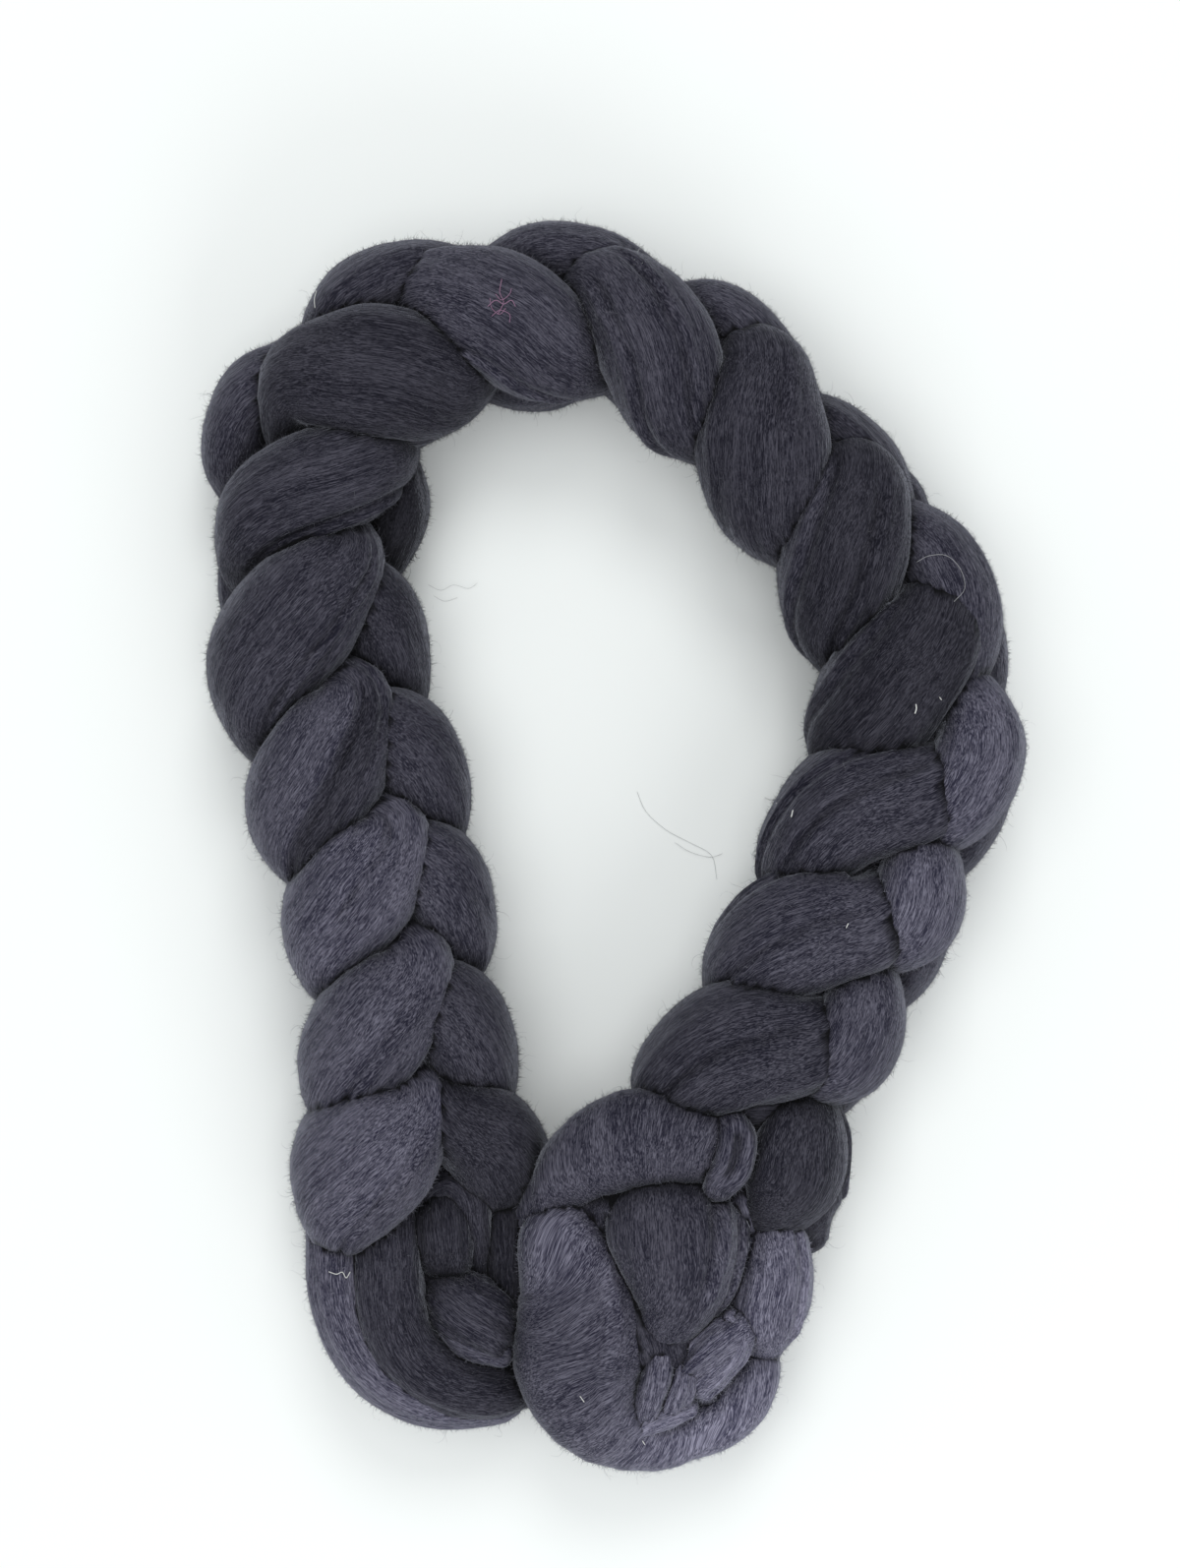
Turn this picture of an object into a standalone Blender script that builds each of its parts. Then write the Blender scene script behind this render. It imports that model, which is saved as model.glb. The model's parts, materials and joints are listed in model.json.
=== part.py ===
"""Braid of wool roving: one length of combed wool top worked into a chain plait.

The plait is laid flat on a table in a pear-shaped loop whose two ends touch at the foot.
Every stitch is one bight of the strand: a leg that shows on one side, a head that turns
behind, a second leg on the other side and a bump that runs on at the back to the next stitch.
The strand is swept stitch by stitch along the line of the loop and closed into one body.
+Z is up, +Y runs from the foot of the loop to its crown, sizes are in metres.
"""
import math

import bpy
import numpy as np

MM = 0.001

# ---------------------------------------------------------------- driving sizes
PITCH = 36.0 * MM          # usual distance from one stitch to the next
REST_HEIGHT = 26.0 * MM    # height of the plait's middle line above the table
OUTLINE_MIDDLE = (-2.2, -0.6)  # mm, middle of the loop's outline in the tables below
SAG = 0.93                 # the plait is this much lower than it is wide
SHOW_AT = 0.65             # part of a stitch where its showing leg is widest
VOXEL = 2.8 * MM           # grain of the closed body before it is thinned out
KEEP = 0.19                # share of the triangles kept for the closed body
HEART = 0.48               # half width of the pressed middle of the plait, in parts of PITCH
STEPS_PER_KEY = 5          # rings between two keys of the strand
RING = 18                  # corners of one ring of the strand

# Middle line of the plait, a row per stitch, from the knotted end to the open end.
# x, y in mm; roll = turn of the plait about its own line in degrees;
# size = thickness; leg = fullness of the showing leg; back = reach of the rear bump.
STITCHES = (
    # x      y     roll   size  leg   back
    (22.0, -87.0, 130.0, 1.00, 1.00, 1.25),
    (35.5, -60.5, 134.0, 1.00, 1.00, 1.15),
    (54.5, -32.5, 136.0, 1.01, 1.02, 1.12),
    (69.0, 1.0, 137.0, 1.00, 1.04, 1.10),
    (80.0, 35.5, 132.0, 1.00, 1.04, 1.18),
    (68.5, 77.0, 121.0, 1.00, 1.04, 0.80),
    (45.0, 106.0, 109.0, 0.98, 1.08, 0.54),
    (15.5, 132.0, 98.0, 0.98, 0.94, 0.74),
    (-26.0, 139.0, 98.0, 0.98, 1.00, 0.93),
    (-63.5, 124.5, 114.0, 1.00, 1.04, 1.15),
    (-81.0, 93.5, 62.0, 1.00, 1.04, 1.15),
    (-81.0, 54.5, 36.0, 1.01, 1.02, 1.00),
    (-70.5, 17.5, 26.0, 1.02, 1.02, 1.00),
    (-62.0, -14.0, 22.0, 0.96, 1.05, 1.00),
    (-56.5, -51.0, 20.0, 0.97, 1.05, 1.00),
    (-52.5, -87.0, 18.0, 1.08, 1.10, 1.00),
)

# One stitch, a row per key of the strand, in parts of PITCH.
# along = way along the plait; turn = degrees round it from its front;
# reach = distance from its middle line; half_w, half_t = half width and half thickness.
STITCH_KEYS = (
    # along  turn   reach half_w half_t part
    (-0.12, 30.0, 0.10, 0.24, 0.24, "leg"),
    (0.10, 14.0, 0.36, 0.30, 0.26, "leg"),
    (0.42, 46.0, 0.46, 0.44, 0.36, "leg"),
    (0.80, 90.0, 0.47, 0.47, 0.36, "leg"),
    (1.12, 134.0, 0.42, 0.36, 0.29, "leg"),
    (1.30, 162.0, 0.24, 0.26, 0.24, "head"),
    (1.40, 180.0, 0.10, 0.26, 0.26, "head"),
    (1.40, -162.0, 0.24, 0.26, 0.24, "head"),
    (1.25, -134.0, 0.42, 0.36, 0.29, "far"),
    (0.93, -90.0, 0.47, 0.47, 0.36, "far"),
    (0.57, -46.0, 0.46, 0.44, 0.36, "far"),
    (0.25, -14.0, 0.36, 0.30, 0.26, "far"),
    (0.00, -30.0, 0.10, 0.24, 0.24, "far"),
    (-0.15, 178.0, 0.26, 0.26, 0.24, "bump"),
    (0.15, 180.0, 0.46, 0.36, 0.31, "bump"),
    (0.50, 182.0, 0.47, 0.36, 0.31, "bump"),
    (0.78, 184.0, 0.28, 0.26, 0.24, "bump"),
)

# Where the hand has pulled the strand about: moves one key of one stitch, in mm, and widens it.
PULLED_KEYS = (
    # stitch key   x     y     z   wider
    (8, 1, 0.0, 3.0, 0.0, 1.00),
    (8, 2, 0.0, 3.5, 0.0, 1.00),
    (8, 3, 0.0, 3.5, 0.0, 1.00),
    (8, 4, 0.0, 3.0, 0.0, 1.00),
    (9, 1, 1.0, 5.0, 1.5, 1.00),
    (9, 2, 0.5, 5.5, 3.0, 1.02),
    (9, 3, 0.0, 5.5, 3.0, 1.04),
    (9, 4, 0.0, 5.0, 1.5, 1.04),
    (10, 1, 1.0, 0.0, -1.0, 0.95),
    (10, 2, 1.0, -1.0, -1.0, 0.86),
    (10, 3, 1.5, -1.0, -1.0, 0.84),
    (10, 4, 2.0, 2.0, 0.0, 0.86),
    (11, 1, 4.0, 0.0, 1.0, 1.00),
    (11, 2, 3.0, 0.0, 1.0, 1.00),
    (12, 1, 4.0, 0.0, 1.0, 1.00),
    (12, 2, 3.0, 0.0, 1.0, 1.00),
    (13, 1, 4.5, 0.0, 1.0, 1.00),
    (13, 2, 3.5, 0.0, 1.0, 1.00),
    (14, 1, 4.0, 0.0, 1.0, 1.00),
    (14, 2, 3.0, 0.0, 1.0, 1.00),
    (4, 4, 3.0, 1.5, 1.5, 1.05),
    (3, 4, 2.5, -1.5, 1.5, 1.04),
    (3, 13, 5.0, 4.0, 0.0, 0.95),
    (3, 14, 2.5, 1.5, 0.0, 1.00),
    (2, 4, 3.0, -2.0, 1.5, 1.04),
    (2, 13, 4.0, 1.0, 0.0, 1.00),
    (2, 14, 3.0, 0.0, 0.0, 1.00),
    (1, 2, 0.0, -1.5, 1.0, 1.03),
    (1, 3, 1.0, -2.0, 1.0, 1.05),
    (1, 4, 4.0, -2.0, 1.5, 1.04),
    (1, 13, 3.0, -8.0, -2.0, 1.00),
    (1, 14, 3.0, -8.0, -3.0, 1.20),
    (1, 15, 2.0, -5.0, -3.0, 1.15),
    (1, 16, 2.0, -4.0, -3.0, 1.10),
    (0, 2, 0.0, 0.0, -4.0, 1.00),
    (0, 3, 0.0, 0.0, -7.0, 0.95),
    (0, 4, -3.0, 0.0, -9.0, 0.90),
    (0, 13, -3.0, 0.0, -10.0, 1.00),
    (0, 14, -3.0, 0.0, -10.0, 1.00),
    (0, 15, -3.0, 0.0, -10.0, 1.00),
    (15, 2, -0.5, 2.5, 0.0, 1.00),
    (15, 3, -2.5, 7.0, 0.0, 1.00),
    (15, 4, -3.0, 9.0, 0.0, 1.00),
    (15, 8, 1.0, 13.0, 0.0, 0.85),
    (15, 9, 1.0, 9.0, 0.0, 0.80),
    (15, 10, 1.5, 6.5, -1.0, 0.82),
    (15, 11, 1.0, 3.0, 0.0, 0.90),
    (10, 14, -2.5, 0.0, 0.0, 1.00),
    (10, 15, -2.5, 0.0, 0.0, 1.00),
)

# Folds and loose turns of the two ends: x, y, z, half width, half thickness in mm.
KNOTTED_END_HUB = (8.0, -128.0, -15.0)
KNOTTED_END = {
    "arch": (
        (30.5, -78.5, 34.5, 10.5, 10.0),
        (19.0, -76.0, 38.0, 12.0, 11.0),
        (5.5, -76.0, 38.0, 13.0, 12.0),
        (-5.5, -80.5, 36.0, 12.0, 12.0),
        (-13.5, -88.5, 32.0, 9.5, 11.0),
        (-20.5, -99.0, 26.0, 8.0, 9.0),
    ),
    "wrap": (
        (-10.5, -95.5, 28.5, 9.5, 8.5),
        (-13.0, -103.5, 32.5, 13.5, 12.0),
        (-9.5, -114.5, 33.0, 17.0, 13.5),
        (-8.5, -125.0, 33.0, 18.5, 15.0),
        (-9.5, -136.5, 31.0, 18.0, 15.0),
        (-5.0, -148.0, 28.0, 15.5, 14.0),
        (5.0, -154.5, 24.0, 12.0, 12.0),
        (17.0, -154.0, 22.0, 10.5, 11.0),
        (27.5, -148.5, 24.0, 10.0, 11.5),
        (33.0, -139.5, 24.5, 9.0, 11.5),
        (33.5, -131.5, 22.0, 6.5, 9.0),
    ),
    "front_leg": (
        (15.5, -90.0, 33.0, 15.0, 10.0),
        (15.0, -97.0, 37.5, 18.5, 12.5),
        (15.5, -104.5, 39.5, 18.0, 13.5),
        (15.5, -112.0, 39.5, 15.0, 12.5),
        (14.0, -119.0, 37.5, 11.5, 11.0),
        (11.0, -125.5, 35.0, 8.0, 8.5),
    ),
    "side_turn": (
        (37.0, -95.0, 30.0, 6.0, 8.5),
        (39.5, -103.0, 30.5, 10.0, 11.0),
        (40.0, -113.0, 31.0, 12.0, 12.0),
        (38.5, -122.0, 30.0, 12.0, 11.5),
        (37.0, -129.5, 26.5, 8.5, 9.0),
    ),
    "rear_turn": (
        (47.5, -66.0, 27.5, 10.0, 10.5),
        (49.0, -76.0, 28.0, 11.5, 12.0),
        (48.5, -86.0, 28.0, 12.0, 12.0),
        (48.0, -95.0, 26.5, 11.0, 11.0),
        (49.5, -102.0, 24.0, 6.5, 7.5),
    ),
    "core": (
        (-1.0, -92.5, 31.5, 12.0, 11.0),
        (2.0, -106.0, 25.0, 20.0, 18.0),
        (8.0, -122.0, 25.5, 26.0, 19.0),
        (12.0, -136.0, 23.0, 22.0, 17.0),
    ),
    "under_turn": (
        (-10.0, -106.0, 12.0, 14.0, 12.0),
        (-8.0, -126.0, 11.0, 16.0, 12.0),
        (6.0, -141.0, 11.0, 16.0, 12.0),
        (22.0, -134.0, 11.0, 15.0, 12.0),
        (30.0, -114.0, 11.0, 15.0, 12.0),
    ),
    "ear": (
        (28.5, -71.0, 40.0, 4.5, 6.0),
        (30.0, -76.0, 43.5, 6.0, 6.5),
        (29.0, -82.0, 44.5, 6.0, 6.5),
        (26.5, -87.0, 42.0, 4.5, 6.0),
    ),
    "inner_fold": (
        (32.0, -106.0, 30.0, 7.0, 8.0),
        (32.0, -116.0, 31.0, 7.5, 8.0),
        (28.0, -126.0, 31.0, 7.5, 8.0),
        (22.0, -134.0, 30.0, 8.0, 8.0),
        (22.0, -141.0, 28.0, 7.0, 8.0),
    ),
    "crook": (
        (43.0, -67.0, 36.0, 6.0, 7.0),
        (36.0, -67.5, 38.0, 7.0, 7.0),
        (29.0, -69.0, 36.0, 6.5, 7.0),
    ),
    "tuck": (
        (5.5, -151.5, 32.0, 4.0, 4.0),
        (7.5, -145.0, 35.5, 5.0, 5.0),
        (9.0, -138.0, 38.0, 5.0, 5.0),
        (10.0, -132.0, 37.5, 4.5, 4.5),
    ),
    "tail": (
        (15.5, -139.5, 34.5, 4.5, 4.5),
        (20.0, -134.5, 37.5, 7.0, 5.5),
        (26.0, -129.5, 38.5, 7.5, 5.5),
        (31.5, -126.0, 37.0, 5.5, 5.0),
    ),
}
OPEN_END_HUB = (-48.0, -118.0, -15.0)
OPEN_END = {
    "outer_bight": (
        (-71.5, -95.0, 26.0, 11.0, 11.5),
        (-71.0, -115.0, 28.0, 11.0, 12.0),
        (-67.5, -128.0, 27.5, 11.0, 12.0),
        (-59.0, -138.5, 26.5, 11.0, 12.0),
        (-46.5, -144.5, 24.0, 10.0, 11.0),
        (-33.0, -145.5, 21.0, 8.5, 10.0),
    ),
    "inner_bight": (
        (-60.5, -94.0, 28.0, 10.0, 11.0),
        (-60.5, -108.0, 31.0, 9.5, 12.0),
        (-59.5, -120.0, 32.0, 9.5, 12.0),
        (-55.5, -131.0, 31.0, 10.0, 12.0),
        (-47.0, -138.5, 28.0, 10.0, 12.0),
        (-36.0, -142.0, 25.0, 9.0, 11.0),
        (-27.0, -142.5, 21.0, 7.5, 9.0),
    ),
    "first_turn": (
        (-46.5, -92.0, 28.0, 7.0, 8.0),
        (-45.5, -99.0, 30.0, 9.5, 9.0),
        (-45.0, -107.0, 28.5, 9.0, 8.5),
    ),
    "second_turn": (
        (-47.5, -117.5, 26.0, 7.0, 8.0),
        (-41.5, -121.5, 30.0, 10.0, 10.0),
        (-35.0, -125.5, 29.5, 10.0, 10.0),
        (-30.0, -130.5, 25.5, 7.0, 8.0),
    ),
    "over_loop": (
        (-52.5, -97.0, 29.0, 3.5, 4.0),
        (-49.5, -90.5, 31.5, 4.5, 4.5),
        (-43.5, -88.0, 33.0, 5.0, 4.5),
        (-39.0, -93.0, 32.5, 5.0, 4.5),
        (-37.5, -101.5, 30.5, 4.5, 4.5),
        (-36.5, -112.0, 27.0, 4.0, 4.0),
    ),
    "far_bight": (
        (-31.0, -88.0, 22.0, 8.0, 9.0),
        (-30.0, -104.0, 24.0, 8.0, 10.0),
        (-29.5, -117.0, 23.0, 7.5, 10.0),
        (-30.0, -130.0, 21.0, 7.5, 10.0),
        (-31.0, -140.0, 18.0, 8.0, 9.0),
    ),
    "under_bight": (
        (-66.0, -100.0, 12.0, 13.0, 12.5),
        (-64.0, -122.0, 11.0, 14.0, 12.0),
        (-50.0, -137.0, 11.0, 14.0, 12.0),
        (-38.0, -124.0, 11.0, 14.0, 12.0),
        (-38.0, -102.0, 12.0, 14.0, 12.5),
    ),
    "open_core": (
        (-45.0, -84.0, 20.0, 13.0, 13.0),
        (-50.0, -96.0, 20.0, 16.0, 14.0),
        (-48.0, -116.0, 18.0, 20.0, 13.0),
        (-44.0, -134.0, 17.0, 16.0, 12.0),
    ),
}

WOOL_COLOUR = (0.040, 0.041, 0.058, 1.0)


# ---------------------------------------------------------------- helpers
def through(rows, t):
    """Smooth line through a table of rows, read at t rows from its start."""
    last = len(rows) - 1
    if t <= 0.0:
        return rows[0] + (rows[1] - rows[0]) * t
    if t >= last:
        return rows[last] + (rows[last] - rows[last - 1]) * (t - last)
    i = int(t)
    f = t - i
    before = rows[i - 1] if i > 0 else 2.0 * rows[0] - rows[1]
    after = rows[i + 2] if i + 2 <= last else 2.0 * rows[last] - rows[last - 1]
    here = rows[i]
    there = rows[i + 1]
    return 0.5 * (
        2.0 * here
        + (there - before) * f
        + (2.0 * before - 5.0 * here + 4.0 * there - after) * f * f
        + (3.0 * here - before - 3.0 * there + after) * f * f * f
    )


def unit(vectors):
    length = np.linalg.norm(vectors, axis=-1, keepdims=True)
    return vectors / np.maximum(length, 1e-9)


def stitch_key(table, stitch, key):
    """One key of the strand: position, outward direction, half width, half thickness."""
    along, turn, reach, half_w, half_t, part = key
    t = stitch + along - SHOW_AT
    x, y, roll, size, leg, back = through(table, t)
    ahead = through(table, t + 0.05)[:2] - through(table, t - 0.05)[:2]
    ahead = ahead / np.linalg.norm(ahead)
    right = np.array([ahead[1], -ahead[0]])
    angle = math.radians(turn - roll)
    out = np.array([right[0] * math.sin(angle), right[1] * math.sin(angle), math.cos(angle)])
    thick = PITCH * size
    if part in ("bump", "far"):
        reach = reach * back
    if part == "leg":
        half_w = half_w * leg
    distance = thick * reach
    centre = np.array([x * MM, y * MM, REST_HEIGHT]) + out * distance
    centre[2] = REST_HEIGHT + (centre[2] - REST_HEIGHT) * SAG
    return np.concatenate([centre, out, [half_w * thick, half_t * thick]])


def plait_keys():
    """Keys of the plaited strand, moved to where the hand has pulled them."""
    table = np.array(STITCHES, float)
    pulled = {(stitch, key): pull for stitch, key, *pull in PULLED_KEYS}
    keys = []
    for stitch in range(len(STITCHES)):
        for number, key in enumerate(STITCH_KEYS):
            row = stitch_key(table, stitch, key)
            x, y, z, wider = pulled.get((stitch, number), (0.0, 0.0, 0.0, 1.0))
            row[0:3] += np.array([x, y, z]) * MM
            row[6] *= wider
            keys.append(row)
    return np.array(keys)


def heart_keys():
    """The middle of the plait, where the hidden runs of the strand are pressed together."""
    table = np.array(STITCHES, float)
    key = (SHOW_AT, 0.0, 0.0, HEART, HEART, "heart")
    return np.array([stitch_key(table, stitch, key) for stitch in range(len(STITCHES))])


def turn_keys(rows, hub):
    """Keys of one fold of an end, its broad side facing away from the hub of that end."""
    keys = []
    for x, y, z, half_w, half_t in rows:
        centre = np.array([x, y, z]) * MM
        out = unit(centre - np.array(hub) * MM)
        keys.append(np.concatenate([centre, out, [half_w * MM, half_t * MM]]))
    return np.array(keys)


def rings_along(keys, steps=STEPS_PER_KEY, corners=RING):
    """Rings of the swept strand: an oval set square to the line at every step."""
    count = (len(keys) - 1) * steps + 1
    line = np.array([through(keys, i / steps) for i in range(count)])
    centre = line[:, 0:3]
    ahead = unit(np.gradient(centre, axis=0))
    out = line[:, 3:6]
    for _ in range(3):
        out = unit(out - np.sum(out * ahead, axis=1, keepdims=True) * ahead)
        soft = out.copy()
        soft[1:-1] = 0.25 * out[:-2] + 0.5 * out[1:-1] + 0.25 * out[2:]
        out = soft
    out = unit(out - np.sum(out * ahead, axis=1, keepdims=True) * ahead)
    side = np.cross(ahead, out)
    angle = np.linspace(0.0, 2.0 * math.pi, corners, endpoint=False)
    across = np.cos(angle)[None, :, None] * side[:, None, :] * line[:, None, None, 6]
    deep = np.sin(angle)[None, :, None] * out[:, None, :] * line[:, None, None, 7]
    return centre, ahead, centre[:, None, :] + across + deep


def rounded_tube(keys):
    """Closed tube with domed ends as points and faces."""
    centre, ahead, rings = rings_along(keys)
    corners = rings.shape[1]
    caps_start = []
    caps_end = []
    for share, reach in ((0.92, 0.35), (0.70, 0.70), (0.38, 0.92)):
        size = np.linalg.norm(rings[0] - centre[0], axis=1).mean()
        caps_start.insert(0, centre[0] + (rings[0] - centre[0]) * share - ahead[0] * size * reach)
        size = np.linalg.norm(rings[-1] - centre[-1], axis=1).mean()
        caps_end.append(centre[-1] + (rings[-1] - centre[-1]) * share + ahead[-1] * size * reach)
    rings = np.concatenate([np.array(caps_start), rings, np.array(caps_end)])
    points = [tuple(p) for p in rings.reshape(-1, 3)]
    faces = []
    for i in range(len(rings) - 1):
        for j in range(corners):
            k = (j + 1) % corners
            faces.append((i * corners + j, i * corners + k, (i + 1) * corners + k, (i + 1) * corners + j))
    last = (len(rings) - 1) * corners
    faces.append(tuple(reversed(range(corners))))
    faces.append(tuple(last + j for j in range(corners)))
    return points, faces


def wool_material():
    material = bpy.data.materials.new("charcoal_wool")
    material.use_nodes = True
    shader = material.node_tree.nodes["Principled BSDF"]
    shader.inputs["Base Color"].default_value = WOOL_COLOUR
    shader.inputs["Roughness"].default_value = 0.95
    shader.inputs["Metallic"].default_value = 0.0
    return material


# ---------------------------------------------------------------- build
for leftover in list(bpy.data.objects):
    bpy.data.objects.remove(leftover, do_unlink=True)

parts = bpy.data.collections.new("wool_roving_braid")
cutters = bpy.data.collections.new("wool_roving_braid_cutters")
bpy.context.scene.collection.children.link(parts)
bpy.context.scene.collection.children.link(cutters)

strands = [plait_keys(), heart_keys()]
for rows in KNOTTED_END.values():
    strands.append(turn_keys(rows, KNOTTED_END_HUB))
for rows in OPEN_END.values():
    strands.append(turn_keys(rows, OPEN_END_HUB))

middle = np.array([OUTLINE_MIDDLE[0] * MM, OUTLINE_MIDDLE[1] * MM, 0.0])
points = []
faces = []
for keys in strands:
    keys[:, 0:3] -= middle
    new_points, new_faces = rounded_tube(keys)
    start = len(points)
    points.extend(new_points)
    faces.extend(tuple(start + i for i in face) for face in new_faces)

mesh = bpy.data.meshes.new("roving_braid")
mesh.from_pydata(points, [], faces)
mesh.update()
mesh.materials.append(wool_material())
braid = bpy.data.objects.new("roving_braid", mesh)
parts.objects.link(braid)

# the table top that presses the underside flat where the plait lies on it
table_mesh = bpy.data.meshes.new("table_cut")
table = bpy.data.objects.new("table_cut", table_mesh)
cutters.objects.link(table)
reach = 0.4
depth = 0.1
low = [(-reach, -reach, -depth), (reach, -reach, -depth), (reach, reach, -depth), (-reach, reach, -depth)]
high = [(x, y, 0.0) for x, y, z in low]
sides = [(i, (i + 1) % 4, 4 + (i + 1) % 4, 4 + i) for i in range(4)]
table_mesh.from_pydata(low + high, [], [(3, 2, 1, 0), (4, 5, 6, 7)] + sides)
table_mesh.update()
table.hide_render = True
table.display_type = "WIRE"

closing = braid.modifiers.new("close_the_strand", "REMESH")
closing.mode = "VOXEL"
closing.voxel_size = VOXEL
closing.adaptivity = 0.0
closing.use_smooth_shade = True

softening = braid.modifiers.new("soften", "SMOOTH")
softening.factor = 0.5
softening.iterations = 2

thinning = braid.modifiers.new("thin_out", "DECIMATE")
thinning.ratio = KEEP

pressing = braid.modifiers.new("press_flat", "BOOLEAN")
pressing.operation = "DIFFERENCE"
pressing.solver = "EXACT"
pressing.object = table
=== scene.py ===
"""Looks of the braid of combed wool roving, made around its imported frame.

The braid is one long strand of charcoal wool top worked into a chain plait. Here the strand is
swept stitch by stitch as soft oval rings, creased where the top is folded, and covered in short
fibres that lie along it or stand off it. +Z is up, +Y runs from the foot of the loop to its crown.
"""
import json
import math
from functools import partial

import bpy
import numpy as np
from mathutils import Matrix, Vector
from mathutils.bvhtree import BVHTree

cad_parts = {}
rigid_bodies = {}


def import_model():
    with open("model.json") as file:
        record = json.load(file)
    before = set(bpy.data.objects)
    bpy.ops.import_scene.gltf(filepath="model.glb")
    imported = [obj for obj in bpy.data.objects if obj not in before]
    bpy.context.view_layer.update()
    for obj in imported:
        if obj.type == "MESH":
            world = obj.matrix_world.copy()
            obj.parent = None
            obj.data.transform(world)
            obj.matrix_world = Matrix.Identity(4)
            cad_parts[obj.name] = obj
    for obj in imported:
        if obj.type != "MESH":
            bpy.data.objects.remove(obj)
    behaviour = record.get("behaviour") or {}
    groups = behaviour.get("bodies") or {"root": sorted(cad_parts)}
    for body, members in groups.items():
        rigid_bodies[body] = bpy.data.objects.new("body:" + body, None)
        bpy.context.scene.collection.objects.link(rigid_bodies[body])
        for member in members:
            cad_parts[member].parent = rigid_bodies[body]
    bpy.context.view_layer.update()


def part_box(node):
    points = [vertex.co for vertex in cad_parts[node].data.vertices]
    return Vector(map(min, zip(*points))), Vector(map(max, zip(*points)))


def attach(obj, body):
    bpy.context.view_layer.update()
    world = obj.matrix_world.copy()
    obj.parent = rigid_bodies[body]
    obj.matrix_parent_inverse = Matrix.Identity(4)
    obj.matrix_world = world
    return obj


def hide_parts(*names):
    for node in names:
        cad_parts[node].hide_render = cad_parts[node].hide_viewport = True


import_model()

MM = 0.001
braid_low, braid_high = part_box("roving_braid")

# ---------------------------------------------------------------- driving sizes
PITCH = 36.0 * MM          # usual distance from one stitch to the next
REST_HEIGHT = 26.0 * MM    # height of the plait's middle line above the table
OUTLINE_MIDDLE = (-2.2, -0.6)  # mm, middle of the loop's outline in the tables below
SAG = 0.93                 # the plait is this much lower than it is wide
SHOW_AT = 0.65             # part of a stitch where its showing leg is widest
STEPS_PER_KEY = 7          # rings between two keys of the plaited strand
RING = 82                  # corners of one ring of the plaited strand
END_STEPS = 8              # rings between two keys of a fold at an end
END_RING = 80              # corners of one ring of a fold at an end
SPLIT_STITCH = 8           # first stitch of the second half of the plaited strand
AHEAD_STEP = 0.05          # part of a stitch looked back and ahead for the way the plait runs
END_START = 10.0           # metres, apart from the arms, where the fibres of the ends start
LIE_HEIGHT = 0.15 * MM     # where the pressed underside lies
LIE_SOFTNESS = 0.8 * MM    # how softly it turns up at its edge

# Middle line of the plait, a row per stitch, from the knotted end to the open end.
# x, y in mm; roll = turn of the plait about its own line in degrees;
# size = thickness; leg = fullness of the showing leg; back = reach of the rear bump.
STITCHES = (
    # x      y     roll   size  leg   back
    (22, -87, 130, 1.00, 1.00, 1.25),
    (35.5, -60.5, 134, 1.00, 1.00, 1.15),
    (54.5, -32.5, 136, 1.01, 1.02, 1.12),
    (69, 1, 137, 1.00, 1.04, 1.10),
    (80, 35.5, 132, 1.00, 1.04, 1.18),
    (68.5, 77, 121, 1.00, 1.04, 0.80),
    (45, 106, 109, 0.98, 1.08, 0.54),
    (15.5, 132, 98, 0.98, 0.94, 0.74),
    (-26, 139, 98, 0.98, 1.00, 0.93),
    (-63.5, 124.5, 114, 1.00, 1.04, 1.15),
    (-81, 93.5, 62, 1.00, 1.04, 1.15),
    (-81, 54.5, 36, 1.01, 1.02, 1.00),
    (-70.5, 17.5, 26, 1.02, 1.02, 1.00),
    (-62, -14, 22, 0.96, 1.05, 1.00),
    (-56.5, -51, 20, 0.97, 1.05, 1.00),
    (-52.5, -87, 18, 1.08, 1.10, 1.00),
)

# One stitch, a row per key of the strand, in parts of PITCH.
# along = way along the plait; turn = degrees round it from its front;
# reach = distance from its middle line; half_w, half_t = half width and half thickness;
# twist = degrees that the strand has turned about its own line.
STITCH_KEYS = (
    # along  turn   reach half_w half_t part    twist
    (-0.12, 30, 0.10, 0.24, 0.24, "leg", -32),
    (0.10, 14, 0.36, 0.30, 0.26, "leg", -26),
    (0.42, 46, 0.46, 0.44, 0.36, "leg", -10),
    (0.80, 90, 0.47, 0.47, 0.36, "leg", 10),
    (1.12, 134, 0.42, 0.36, 0.29, "leg", 27),
    (1.30, 162, 0.24, 0.26, 0.24, "head", 34),
    (1.40, 180, 0.10, 0.26, 0.26, "head", 39),
    (1.40, -162, 0.24, 0.26, 0.24, "head", 44),
    (1.25, -134, 0.42, 0.36, 0.29, "far", 45),
    (0.93, -90, 0.47, 0.47, 0.36, "far", 17),
    (0.57, -46, 0.46, 0.44, 0.36, "far", -17),
    (0.25, -14, 0.36, 0.30, 0.26, "far", -45),
    (0.00, -30, 0.10, 0.24, 0.24, "far", -48),
    (-0.15, 178, 0.26, 0.26, 0.24, "bump", -46),
    (0.15, 180, 0.46, 0.36, 0.31, "bump", -43),
    (0.50, 182, 0.47, 0.36, 0.31, "bump", -39),
    (0.78, 184, 0.28, 0.26, 0.24, "bump", -35),
)
KEYS = len(STITCH_KEYS)

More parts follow.
